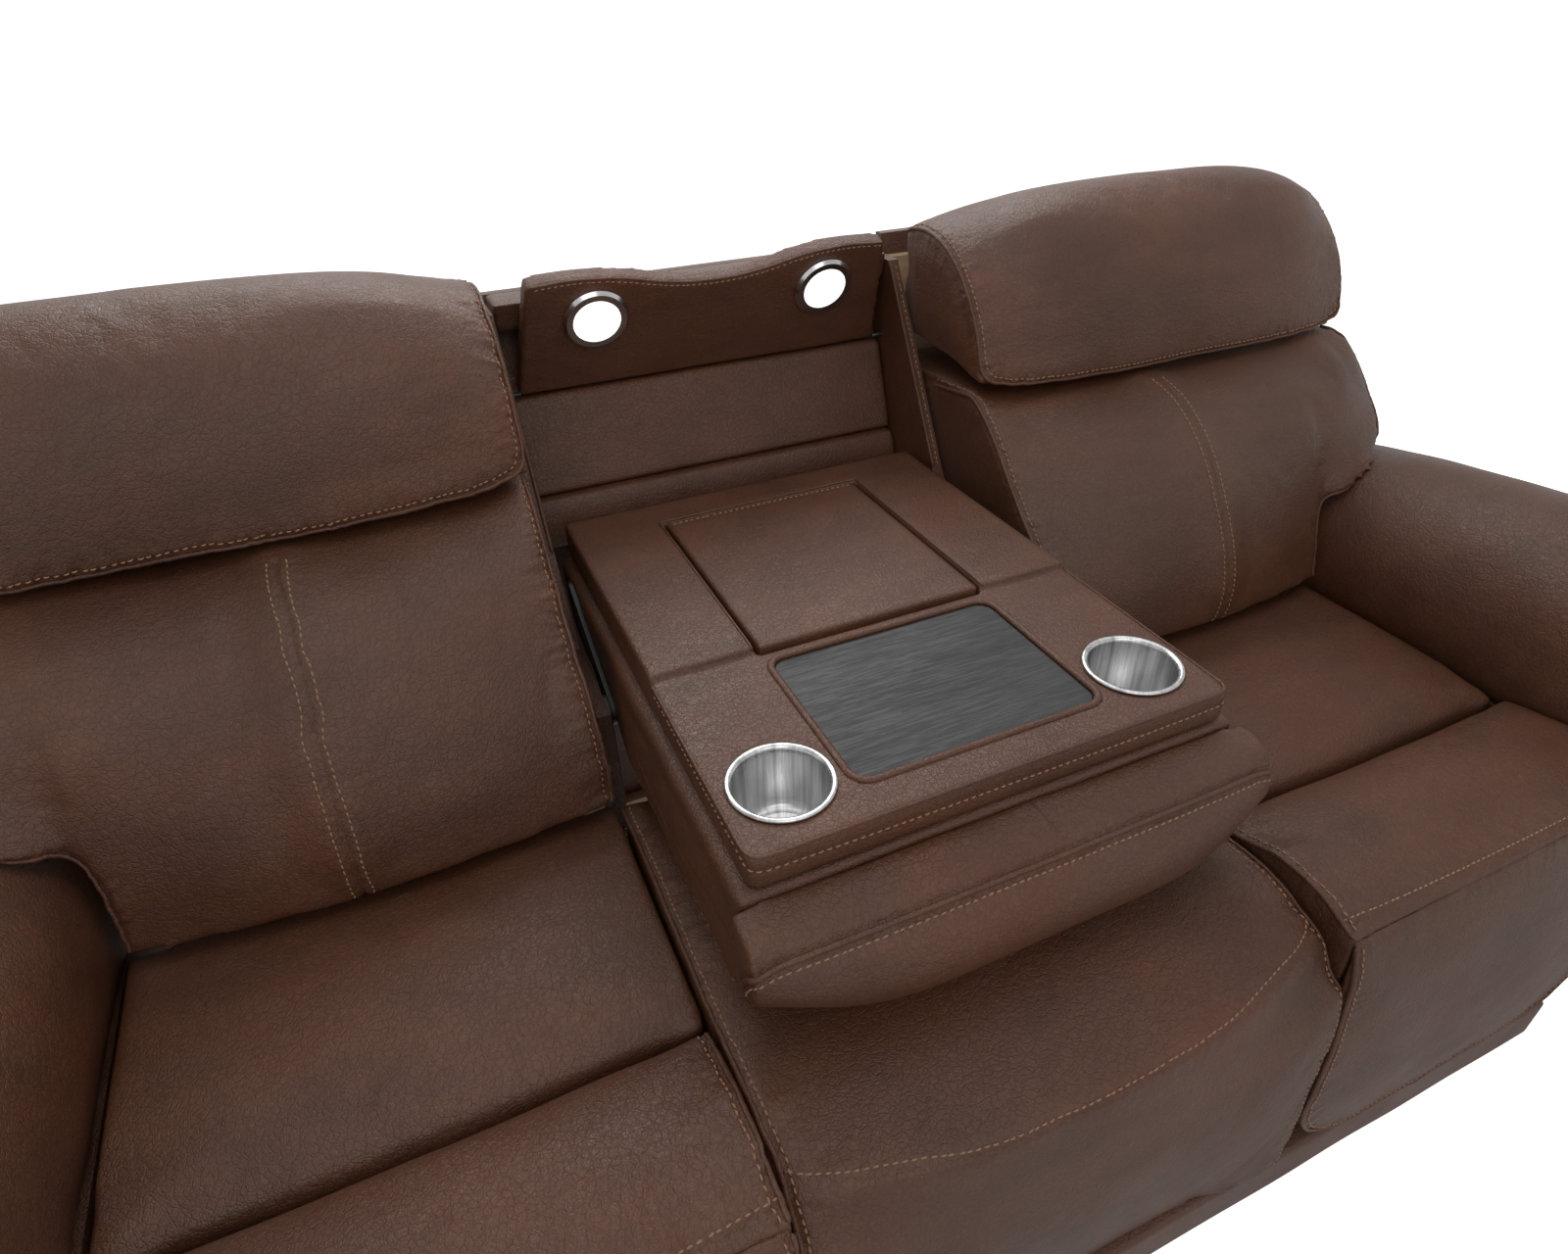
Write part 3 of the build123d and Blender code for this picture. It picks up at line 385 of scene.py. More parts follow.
    def pucker(self, line, reach, depth, wave, seed, side=0):
        """Small folds that run away from a seam, on one side of it (1 or -1) or on both (0)."""
        which, far, across, at = self.near(line, reach)
        rng = np.random.default_rng(seed)
        count = max(4, int(line.s[-1] / wave))
        knots = np.linspace(0, line.s[-1], count)
        height = np.interp(line.s, knots, rng.uniform(-1, 1, count))
        slant = np.interp(line.s, knots, rng.uniform(-0.6, 0.6, count))
        shifted = np.clip(line.s[at] + slant[at] * far, 0, line.s[-1])
        fold = np.interp(shifted, line.s, np.sin(height * 2.2))
        beat = np.sin(2 * math.pi * shifted / wave + 3 * height[at])
        fade = np.clip(1 - far / reach, 0, 1) ** 1.5 * np.clip(far / (2.5 * MM), 0, 1)
        if side:
            fade = fade * (across * side > 0)
        rise = depth * fade * (0.6 * fold + 0.6 * beat * np.abs(fold))
        self.v[which] += line.n[at] * rise[:, None]
        self.moved()

    def swell(self, scale, height, seed):
        """Soft unevenness of the stuffing, as a few long waves in every direction."""
        rng = np.random.default_rng(seed)
        n = self.normals()
        rise = np.zeros(len(self.v))
        for _ in range(10):
            wave = unit(rng.normal(size=(1, 3)))[0] * (2 * math.pi / (scale * rng.uniform(0.7, 1.5)))
            rise += np.sin(self.v @ wave + rng.uniform(0, 6.28))
        self.v += n * (rise * height / math.sqrt(10))[:, None]
        self.moved()


def arrays_of(mesh):
    """Points and four-sided faces of a mesh; a three-sided face repeats its last point."""
    points = np.zeros(len(mesh.vertices) * 3)
    mesh.vertices.foreach_get("co", points)
    sizes = np.zeros(len(mesh.polygons), int)
    mesh.polygons.foreach_get("loop_total", sizes)
    loops = np.zeros(len(mesh.loops), int)
    mesh.loops.foreach_get("vertex_index", loops)
    starts = np.concatenate(([0], np.cumsum(sizes)[:-1]))
    fourth = starts + np.minimum(3, sizes - 1)
    faces = np.stack([loops[starts], loops[starts + 1], loops[starts + 2], loops[fourth]], axis=1)
    return points.reshape(-1, 3), faces


def mesh_from(name, points, faces):
    """A mesh from points and faces of three or four sides."""
    mesh = bpy.data.meshes.new(name)
    mesh.vertices.add(len(points))
    mesh.vertices.foreach_set("co", np.asarray(points, float).ravel())
    faces = np.asarray(faces)
    sizes = np.full(len(faces), faces.shape[1])
    if faces.shape[1] == 4:
        sizes = np.where(faces[:, 2] == faces[:, 3], 3, 4)
    loops = faces[np.arange(faces.shape[1]) < sizes[:, None]]
    mesh.loops.add(len(loops))
    mesh.loops.foreach_set("vertex_index", loops)
    mesh.polygons.add(len(faces))
    starts = np.concatenate(([0], np.cumsum(sizes)[:-1]))
    mesh.polygons.foreach_set("loop_start", starts)
    mesh.polygons.foreach_set("loop_total", sizes)
    mesh.update(calc_edges=True)
    mesh.validate()
    mesh.shade_smooth()
    return mesh


def settled(mesh, build):
    """A mesh after the modifiers that build adds to its object."""
    obj = bpy.data.objects.new("work", mesh)
    bpy.context.scene.collection.objects.link(obj)
    build(obj)
    done = bpy.data.meshes.new_from_object(obj.evaluated_get(bpy.context.evaluated_depsgraph_get()))
    bpy.data.objects.remove(obj)
    return done


def finer(cover, levels=1):
    """The cover with each face divided, rounded as it goes."""

    def divide(obj):
        step = obj.modifiers.new("Divide", "SUBSURF")
        step.levels = step.render_levels = levels

    done = settled(mesh_from("work", cover.v, cover.f), divide)
    return Cover(*arrays_of(done))


def blank(nodes, voxel, cuts=(), overlap=0.0):
    """The nodes' solids as one even net of small faces.

    A cut is a point and a direction in millimetres: what lies beyond it is left out. With an overlap
    the second node's top is carried up into the first, so that the two become one.
    """
    bm = bmesh.new()
    for k, node in enumerate(nodes):
        part = bmesh.new()
        part.from_mesh(NODES[node].data)
        if k and overlap:
            top = max(v.co.z for v in part.verts)
            for v in part.verts:
                if v.co.z > top - MM:
                    v.co.z += overlap
        carried = bpy.data.meshes.new("part")
        part.to_mesh(carried)
        part.free()
        bm.from_mesh(carried)
    bmesh.ops.remove_doubles(bm, verts=bm.verts, dist=0.01 * MM)
    for place, way in cuts:
        everything = bm.verts[:] + bm.edges[:] + bm.faces[:]
        bmesh.ops.bisect_plane(bm, geom=everything, plane_co=Vector(place) * MM, plane_no=Vector(way),
                               clear_outer=True)
        bmesh.ops.holes_fill(bm, edges=[e for e in bm.edges if e.is_boundary])
    whole = bpy.data.meshes.new("blank")
    bm.to_mesh(whole)
    bm.free()

    return netted(whole, voxel)


def netted(mesh, voxel):
    """A closed mesh as one even net of small faces."""

    def net(obj):
        step = obj.modifiers.new("Net", "REMESH")
        step.mode = "VOXEL"
        step.voxel_size = voxel
        step.adaptivity = 0.0

    return Cover(*arrays_of(settled(mesh, net)))


# ---------------------------------------------------------------- pieces
def put(name, mesh, finish, body, stands_for=()):
    """A finished piece that rides on a body."""
    obj = bpy.data.objects.new(name, mesh)
    bpy.context.scene.collection.objects.link(obj)
    obj.data.materials.clear()
    obj.data.materials.append(finish)
    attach(obj, body)
    if stands_for:
        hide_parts(*stands_for)
    return obj


def tube(line, half_width, half_height, sides=10, closed=False):
    """Points and faces of a welt along a line, tapered and closed at its ends unless it is a ring."""
    angles = np.linspace(0, 2 * math.pi, sides, endpoint=False)
    count = len(line.p)
    taper = np.ones(count)
    if not closed:
        ends = np.array((0.25, 0.7, 0.92))
        taper[:3], taper[-3:] = ends, ends[::-1]
    ring = (
        line.p[:, None, :]
        + line.b[:, None, :] * (np.cos(angles) * half_width)[None, :, None] * taper[:, None, None]
        + line.n[:, None, :] * (np.sin(angles) * half_height)[None, :, None] * taper[:, None, None]
    )
    points = ring.reshape(-1, 3)
    i = np.arange(count if closed else count - 1)[:, None]
    j = np.arange(sides)[None, :]
    near, far, k = i * sides, (i + 1) % count * sides, (j + 1) % sides
    faces = np.stack([near + j, near + k, far + k, far + j], axis=2).reshape(-1, 4)
    if closed:
        return points, faces
    first, last = len(points), len(points) + 1
    j, k, end = np.arange(sides), (np.arange(sides) + 1) % sides, (count - 1) * sides
    low = np.stack([np.full(sides, first), k, j, j], axis=1)
    high = np.stack([np.full(sides, last), end + j, end + k, end + k], axis=1)
    return np.vstack((points, line.p[:1], line.p[-1:])), np.vstack((faces, low, high))


def stitches(line, length, pitch, thick, seed=1):
    """Points and faces of a row of stitches that lie along a line."""
    rng = np.random.default_rng(seed)
    points, faces, base = [], [], 0
    sides, rings = 6, 5
    angles = np.linspace(0, 2 * math.pi, sides, endpoint=False)
    at = np.linspace(-0.5, 0.5, rings)
    fat = np.array([0.35, 0.85, 1.0, 0.85, 0.35])
    arch = np.array([-0.7, 0.15, 0.4, 0.15, -0.7])
    start = pitch / 2
    while start < line.s[-1] - pitch / 2:
        spot = start + rng.uniform(-0.3, 0.3) * MM
        i = min(len(line.s) - 1, int(np.searchsorted(line.s, spot)))
        t, n, b = line.t[i], line.n[i], line.b[i]
        t = unit(t + b * rng.uniform(-0.06, 0.06) + b * 0.10)
        b = np.cross(n, t)
        centre = line.p[i]
        for x, f, h in zip(at, fat, arch):
            middle = centre + t * x * length + n * h * thick * 0.5
            points.append(
                middle
                + b * (np.cos(angles) * thick * 0.5 * f)[:, None]
                + n * (np.sin(angles) * thick * 0.5 * f)[:, None]
            )
        for r in range(rings - 1):
            for a in range(sides):
                c = (a + 1) % sides
                faces.append((base + r * sides + a, base + r * sides + c,
                              base + (r + 1) * sides + c, base + (r + 1) * sides + a))
        for r, order in ((0, (0, 1, 2, 3)), (0, (0, 3, 4, 5)), (rings - 1, (3, 2, 1, 0)),
                         (rings - 1, (5, 4, 3, 0))):
            faces.append(tuple(base + r * sides + a for a in order[::-1]))
        base += rings * sides
        start += pitch
    return np.vstack(points), np.array(faces)


def joined(parts):
    """Several meshes' points and faces as one."""
    points, faces, base = [], [], 0
    for p, f in parts:
        points.append(p)
        faces.append(f + base)
        base += len(p)
    return np.vstack(points), np.vstack(faces)


def put_welts(name, body, lines, finish):
    """Welts along the lines, given with their half widths, a quarter sunk in the cover."""
    if lines:
        parts = [tube(Line(line.p + line.n * w * 0.2, line.n), w, w * 0.8) for line, w in lines]
        put(name, mesh_from(name, *joined(parts)), finish, body)


def put_thread(name, body, lines, seed=1):
    """Rows of stitches along the lines."""
    if lines:
        sewing = bpy.context.scene.sofa_sewing
        sizes = sewing.stitch, sewing.pitch, sewing.thread
        parts = [stitches(line, *sizes, seed + i) for i, line in enumerate(lines)]
        put(name, mesh_from(name, *joined(parts)), thread_finish(), body)


# ---------------------------------------------------------------- finishes
class Finish:
    """A material's node tree, built a node at a time."""

    def __init__(self, name):
        self.material = bpy.data.materials.new(name)
        self.material.use_nodes = True
        self.tree = self.material.node_tree
        self.tree.nodes.clear()
        self.out = self.tree.nodes.new("ShaderNodeOutputMaterial")
        self.shader = self.add("ShaderNodeBsdfPrincipled")
        self.tree.links.new(self.shader.outputs[0], self.out.inputs["Surface"])
        self.place = self.add("ShaderNodeTexCoord").outputs["Object"]

    def add(self, kind, *links, **values):
        """A node with its settings, and its inputs linked by name."""
        node = self.tree.nodes.new(kind)
        for key, value in values.items():
            setattr(node, key, value)
        for name, source in links:
            self.link(source, node.inputs[name])
        return node

    def link(self, source, target):
        """Joins an output to an input."""
        self.tree.links.new(source, target)

    def noise(self, scale, detail=3.0, roughness=0.55, place=None):
        """Noise from 0 to 1."""
        node = self.add("ShaderNodeTexNoise", ("Vector", place or self.place))
        node.inputs["Scale"].default_value = scale
        node.inputs["Detail"].default_value = detail
        node.inputs["Roughness"].default_value = roughness
        return node.outputs["Fac"]

    def stretch(self, x, y, z, shift=0.0):
        """Places on the piece, scaled along each axis and shifted."""
        node = self.add("ShaderNodeMapping", ("Vector", self.place))
        node.inputs["Scale"].default_value = (x, y, z)
        node.inputs["Location"].default_value = (shift, shift * 0.7, shift * 0.3)
        return node.outputs[0]

    def ramp(self, fac, *stops):
        """Shades looked up by a value, from (value, shade) stops."""
        node = self.add("ShaderNodeValToRGB", ("Fac", fac))
        while len(node.color_ramp.elements) < len(stops):
            node.color_ramp.elements.new(0.5)
        for element, (at, value) in zip(node.color_ramp.elements, stops):
            element.position = at
            shade = (value,) * 3 if isinstance(value, (int, float)) else tuple(value)
            element.color = (*shade[:3], 1.0)
        return node.outputs["Color"]

    def mix(self, fac, a, b, blend="MIX"):
        node = self.add("ShaderNodeMix", data_type="RGBA", blend_type=blend)
        for socket, value in zip((node.inputs[0], node.inputs[6], node.inputs[7]), (fac, a, b)):
            if hasattr(value, "is_linked"):
                self.link(value, socket)
            elif isinstance(value, (int, float)):
                socket.default_value = value if socket == node.inputs[0] else (value,) * 3 + (1.0,)
            else:
                socket.default_value = (*tuple(value)[:3], 1.0)
        return node.outputs[2]

    def sum(self, *terms):
        """A weighted sum of outputs, given as (output, weight) pairs."""
        total = None
        for output, weight in terms:
            term = self.add("ShaderNodeMath", operation="MULTIPLY")
            self.link(output, term.inputs[0])
            term.inputs[1].default_value = weight
            if total is None:
                total = term.outputs[0]
            else:
                both = self.add("ShaderNodeMath", operation="ADD")
                self.link(total, both.inputs[0])
                self.link(term.outputs[0], both.inputs[1])
                total = both.outputs[0]
        return total

    def times(self, a, b):
        """The product of two outputs."""
        node = self.add("ShaderNodeMath", operation="MULTIPLY")
        self.link(a, node.inputs[0])
        self.link(b, node.inputs[1])
        return node.outputs[0]

    def bump(self, height, distance, strength=1.0, under=None):
        """Relief in the shading, over another one if given."""
        node = self.add("ShaderNodeBump", ("Height", height))
        node.inputs["Distance"].default_value = distance
        node.inputs["Strength"].default_value = strength
        if under is not None:
            self.link(under, node.inputs["Normal"])
        return node.outputs[0]

    def set(self, **values):
        """Sets or links the shader's inputs; an underscore stands for a space."""
        for key, value in values.items():
            socket = self.shader.inputs[key.replace("_", " ")]
            if hasattr(value, "is_linked"):
                self.link(value, socket)
            elif isinstance(value, tuple):
                socket.default_value = (*value[:3], 1.0)
            else:
                socket.default_value = value
        return self


def finish_once(build):
    """A finish that is built when it is first asked for."""

    def find(*args):
        name = "_".join([build.__name__, *map(str, args)])
        return bpy.data.materials.get(name) or build(Finish(name), *args).material

    return find


@finish_once
def leather_finish(f, kind="seat"):
    """Mottled brown leather: patches of colour, crackled grain and soft folds. Kinds differ in wrinkling."""
    leather = bpy.context.scene.sofa_leather
    wrinkle = {"seat": 1.0, "smooth": 0.45, "sloped": 2.0, "welt": 0.35}[kind]
    cell = 1 / leather.grain
    patches = f.noise(3.4, 4.0, 0.6)
    base = f.ramp(patches, (0.26, leather.dark), (0.50, leather.brown), (0.70, leather.russet))
    olive = f.ramp(f.noise(2.6, 3.0, 0.5, f.stretch(1, 1, 1, 4.7)), (0.46, 0.0), (0.68, 0.6))
    base = f.mix(olive, base, leather.olive)
    streaks = f.ramp(f.noise(16.0, 5.0, 0.62, f.stretch(0.5, 1.0, 1.2, 1.3)), (0.32, 0.82), (0.68, 1.15))
    base = f.mix(1.0, base, streaks, "MULTIPLY")
    specks = f.ramp(f.noise(260.0, 3.0, 0.6), (0.3, 0.86), (0.7, 1.12))
    base = f.mix(1.0, base, specks, "MULTIPLY")

    drift = f.add("ShaderNodeTexNoise", ("Vector", f.place))
    drift.inputs["Scale"].default_value = 42.0
    drift.inputs["Detail"].default_value = 2.0
    bent = f.add("ShaderNodeVectorMath", operation="MULTIPLY_ADD")
    f.link(drift.outputs["Color"], bent.inputs[0])
    bent.inputs[1].default_value = (0.012, 0.012, 0.012)
    f.link(f.place, bent.inputs[2])
    cells = f.add("ShaderNodeTexVoronoi", ("Vector", bent.outputs[0]), feature="DISTANCE_TO_EDGE")
    cells.inputs["Scale"].default_value = cell
    creases = f.ramp(cells.outputs["Distance"], (0.0, 0.0), (0.16, 0.75), (0.5, 1.0))
    broken = f.add("ShaderNodeTexVoronoi", ("Vector", bent.outputs[0]), feature="DISTANCE_TO_EDGE")
    broken.inputs["Scale"].default_value = cell * 0.42
    crackle = f.ramp(broken.outputs["Distance"], (0.0, 0.0), (0.10, 0.8), (0.35, 1.0))
    pores = f.noise(1500.0, 2.0, 0.5)
    folds = f.add("ShaderNodeTexNoise", ("Vector", bent.outputs[0]), noise_type="RIDGED_MULTIFRACTAL",
                  normalize=True)
    folds.inputs["Scale"].default_value = 75.0
    folds.inputs["Detail"].default_value = 3.0
    where = f.ramp(f.noise(7.0, 3.0, 0.6, f.stretch(1, 1, 1, 9.1)), (0.42, 0.15), (0.62, 1.0))
    long_folds = f.times(folds.outputs["Fac"], where)
    height = f.sum((creases, 0.42), (pores, 0.14), (crackle, 0.55), (long_folds, 1.5 * wrinkle))
    broad = f.noise(55.0, 3.0, 0.55, f.stretch(1, 0.6, 0.9, 2.2))
    normal = f.bump(broad, 1.1 * MM, 0.55 * min(1.0, wrinkle))
    normal = f.bump(height, 0.80 * MM, 0.85, normal)
    base = f.mix(f.ramp(crackle, (0.0, 0.45), (1.0, 0.0)), base, leather.dark)
    rough = f.ramp(f.noise(11.0, 4.0, 0.6, f.stretch(1, 1, 1, 6.0)), (0.3, 0.36), (0.7, 0.50))
    f.set(Base_Color=base, Roughness=rough, Normal=normal, Specular_IOR_Level=0.48, Coat_Weight=0.08,
          Coat_Roughness=0.40)
    return f


@finish_once
def thread_finish(f):
    """Tan sewing thread with a fine twist."""
    leather = bpy.context.scene.sofa_leather
    shade = f.ramp(f.noise(420.0, 2.0), (0.3, [c * 0.72 for c in leather.thread]), (0.7, leather.thread))
    twist = f.noise(2600.0, 1.0, 0.5, f.stretch(1, 1, 1.7))
    return f.set(Base_Color=shade, Roughness=0.62, Normal=f.bump(twist, 0.12 * MM, 0.8),
                 Sheen_Weight=0.2, Specular_IOR_Level=0.35)


@finish_once
def steel_finish(f, tone="brushed"):
    """Metal with fine brushed lines; the tone picks how bright and how smooth it is."""
    bright, low, high = {
        "brushed": (0.62, 0.20, 0.34), "silver": (0.72, 0.16, 0.26), "black": (0.018, 0.30, 0.46),
    }[tone]
    lines = f.noise(900.0, 3.0, 0.6, f.stretch(1, 1, 0.02))
    shade = f.ramp(f.noise(34.0, 4.0), (0.3, bright * 0.82), (0.7, bright))
    rough = f.ramp(lines, (0.3, low), (0.7, high))
    normal = f.bump(lines, 0.03 * MM, 0.35)
    return f.set(Base_Color=shade, Metallic=0.0 if tone == "black" else 1.0, Roughness=rough, Normal=normal)


@finish_once
def cup_finish(f, name):
    """Drawn steel, lighter and darker in upright streaks round its inside, with a bright rolled rim."""
    side = SIDES[name]
    shift = f.add("ShaderNodeMapping", ("Vector", f.place))
    shift.inputs["Location"].default_value = (-side * CUP_X * MM, -CUP_Y * MM, -0.636)
    apart = f.add("ShaderNodeSeparateXYZ", ("Vector", shift.outputs[0]))
    angle = f.add("ShaderNodeMath", operation="ARCTAN2")
    f.link(apart.outputs[1], angle.inputs[0])
    f.link(apart.outputs[0], angle.inputs[1])
    spread_out = f.add("ShaderNodeCombineXYZ")
    f.link(angle.outputs[0], spread_out.inputs[0])
    f.link(apart.outputs[2], spread_out.inputs[1])
    squeeze = f.add("ShaderNodeMapping", ("Vector", spread_out.outputs[0]))
    squeeze.inputs["Scale"].default_value = (1.0, 0.6, 1.0)
    streaks = f.noise(5.0, 4.0, 0.6, squeeze.outputs[0])
    fine = f.noise(60.0, 3.0, 0.6, squeeze.outputs[0])
    shade = f.ramp(streaks, (0.30, 0.34), (0.45, 0.62), (0.55, 0.80), (0.72, 0.50))
    rough = f.ramp(fine, (0.3, 0.24), (0.7, 0.40))
    return f.set(Base_Color=shade, Metallic=1.0, Roughness=rough, Normal=f.bump(fine, 0.04 * MM, 0.4))


@finish_once
def tray_finish(f):
    """Black open-grained wood that runs across the tray."""
    along = f.noise(60.0, 5.0, 0.65, f.stretch(0.12, 1.6, 1.0))
    pores = f.ramp(f.noise(430.0, 3.0, 0.7, f.stretch(0.06, 1.0, 1.0, 3.0)), (0.45, 0.0), (0.60, 1.0))
    clouds = f.noise(9.0, 3.0, 0.5, f.stretch(0.5, 1.0, 1.0, 1.0))
    shade = f.ramp(along, (0.3, (0.012, 0.012, 0.013)), (0.7, (0.034, 0.034, 0.037)))
    shade = f.mix(f.ramp(clouds, (0.3, 0.0), (0.7, 0.5)), shade, (0.045, 0.046, 0.050))
    rough = f.ramp(pores, (0.0, 0.46), (1.0, 0.62))
    return f.set(Base_Color=shade, Roughness=rough, Normal=f.bump(f.sum((pores, 0.7), (along, 0.5)),
                 0.25 * MM, 0.6), Specular_IOR_Level=0.45)


@finish_once
def plastic_finish(f, tone="black"):
    """Moulded plastic with a fine spark-eroded texture."""
    shade = {"black": (0.020, 0.020, 0.021), "button": (0.055, 0.055, 0.058)}[tone]
    grain = f.noise(1400.0, 2.0, 0.5)
    base = f.ramp(f.noise(30.0, 3.0), (0.3, [c * 0.8 for c in shade]), (0.7, [c * 1.25 for c in shade]))
    return f.set(Base_Color=base, Roughness=f.ramp(grain, (0.3, 0.42), (0.7, 0.58)),
                 Normal=f.bump(grain, 0.08 * MM, 0.5))


@finish_once
def plywood_finish(f):
    """Pale plywood with long grain."""
    grain = f.noise(28.0, 5.0, 0.6, f.stretch(0.25, 1.0, 2.0))
    shade = f.ramp(grain, (0.3, (0.36, 0.23, 0.13)), (0.7, (0.55, 0.39, 0.24)))
    return f.set(Base_Color=shade, Roughness=0.62, Normal=f.bump(grain, 0.2 * MM, 0.4))


@finish_once
def lens_finish(f):
    """Frosted lens lit from behind, its glow a little uneven."""
    shade = f.ramp(f.noise(220.0, 2.0), (0.3, 0.93), (0.7, 1.0))
    f.set(Base_Color=(0.95, 0.95, 0.96), Roughness=0.35, Emission_Color=shade, Emission_Strength=1.5)
    f.set(Normal=f.bump(f.noise(900.0, 1.0), 0.05 * MM, 0.4))
    return f


# ---------------------------------------------------------------- padding
def held_by(cover, lines, reach):
    """How firmly each point is held by the lines: 1 on a line, 0 beyond reach."""
    held = np.zeros(len(cover.v))
    for line in lines:
        dots = evenly(line, 4 * MM)
        which, far, _, _ = cover.near(Line(dots, np.tile((0.0, 0.0, 1.0), (len(dots), 1))), reach)
        held[which] = np.maximum(held[which], 1 - far / reach)
    return held


class Seam:
    """A sewn line on a pad: where it runs, which side is stitched and how it draws the leather in."""

    def __init__(self, path, towards, welt=2.8, rows=(8.0,), groove=2.2, pucker=2.0, reach=55.0,
                 wave=13.0, ease=5):
        self.path = np.asarray(path, float)
        self.towards = np.array(towards, float)
        self.welt, self.rows, self.groove = welt, rows, groove
        self.pucker, self.reach, self.wave = pucker, reach, wave
        self.ease = ease

    def mirror(self):
        """The same seam on the other side."""
        other = copy.copy(self)
        other.path, other.towards = mirrored(self.path, -1), mirrored(self.towards, -1)
        return other


def both(*seams):
    """The seams and their mirror images."""
    return [s for seam in seams for s in (seam, seam.mirror())]


class Pad:
    """How one cushion or panel is padded and sewn.

    Lengths are in millimetres; paths and corners are in metres. A soft edge is (path, reach, rounds), a
    corner (axes, place, radius), a cut (place, outward direction) and a margin (low, high) on X, Y and Z.
    """

    def __init__(self, nodes, voxel, seams=(), holds=(), rests=(), margins=(1, 1, 1, 1, 1, 1), shrink=0.0,
                 pressure=0.0, rounds=2, soft=(), corners=(), cuts=(), overlap=0.0, kind="seat", fill=0.7,
                 levels=1, swell=0.0, shape=None, form=None, merge=False):
        self.nodes = [nodes] if isinstance(nodes, str) else nodes
        self.voxel, self.seams, self.holds, self.rests = voxel * MM, seams, holds, rests
        self.margins, self.shrink, self.pressure, self.rounds = margins, shrink * MM, pressure, rounds
        self.soft, self.corners, self.cuts, self.overlap = soft, corners, cuts, overlap * MM
        self.kind, self.fill, self.levels, self.swell, self.shape = kind, fill, levels, swell, shape
        self.form, self.merge = form, merge

    def start(self):
        """The net before it is stuffed: its edges worn round, drawn in between its seams."""
        cover = blank(self.nodes, self.voxel, self.cuts, self.overlap)
        for corner in self.corners:
            cover.round_corner(*corner)
        if self.merge:
            cover = netted(mesh_from("formed", self.form(cover.v), cover.f), self.voxel)
        cover.smooth(self.rounds, 0.5)
        if self.form and not self.merge:
            cover.v = self.form(cover.v)
            cover.moved()
        for path, reach, rounds in self.soft:
            cover.soften(path, reach * MM, rounds)
        lines = [s.path for s in self.seams] + list(self.holds)
        held = held_by(cover, lines, 10 * MM + self.voxel)
        normals = cover.normals()
        for rest in self.rests:
            held = np.maximum(held, (normals @ np.array(rest, float) > 0.8) * 1.0)
        if self.shrink:
            near = np.clip(held_by(cover, lines, 60 * MM), 0, 1)
            free = (1 - near) ** 2 * (3 - 2 * (1 - near)) * (held < 0.5)
            cover.v -= normals * (self.shrink * free)[:, None]
            cover.moved()
        self.cover, self.held = cover, np.clip(held * 1.6, 0, 1)

    def cloth(self):
        """An object with the cover's cloth, ready to be stepped."""
        settings = bpy.context.scene.sofa_padding
        self.obj = bpy.data.objects.new("stuffing", mesh_from("stuffing", self.cover.v, self.cover.f))
        bpy.context.scene.collection.objects.link(self.obj)
        group = self.obj.vertex_groups.new(name="held")
        for level in (0.25, 0.5, 0.75, 1.0):
            chosen = np.nonzero((self.held > level - 0.25) & (self.held <= level))[0]
            if len(chosen):
                group.add(chosen.tolist(), level, "REPLACE")
        cloth = self.obj.modifiers.new("Cloth", "CLOTH")
        s = cloth.settings
        s.quality = 4
        s.mass = 0.25
        s.tension_stiffness = s.compression_stiffness = 12
        s.shear_stiffness = 6
        s.bending_stiffness = 1.2
        s.use_pressure = True
        s.uniform_pressure_force = settings.pressure * self.pressure
        s.vertex_group_mass = "held"
        s.effector_weights.gravity = 0
        cloth.collision_settings.use_collision = False

    def take(self):
        """Takes the settled cloth and keeps each point within its cap."""
        cap = bpy.context.scene.sofa_padding.cap
        points, _ = arrays_of(self.obj.evaluated_get(bpy.context.evaluated_depsgraph_get()).to_mesh())
        bpy.data.objects.remove(self.obj)
        move = points - self.cover.v
        far = np.linalg.norm(move, axis=1, keepdims=True)
        self.cover.v += move * np.minimum(1, cap / np.maximum(far, 1e-9))
        self.cover.moved()

    def close(self):
        """The cover made finer and kept within the nodes' box and margins."""
        if self.pressure:
            self.cover.smooth(2, 0.35, self.held)
        self.cover = finer(self.cover, self.levels) if self.levels else self.cover
        if self.swell:
            self.cover.swell(0.16, self.swell * MM, len(self.cover.v))
        lows, highs = zip(*(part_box(node) for node in self.nodes))
        m = np.array(self.margins, float).reshape(3, 2) * MM
        self.cover.v = np.clip(self.cover.v, np.min(lows, 0) - m[:, 0], np.max(highs, 0) + m[:, 1])
        if self.shape:
            self.shape(self.cover)
        self.cover.moved()


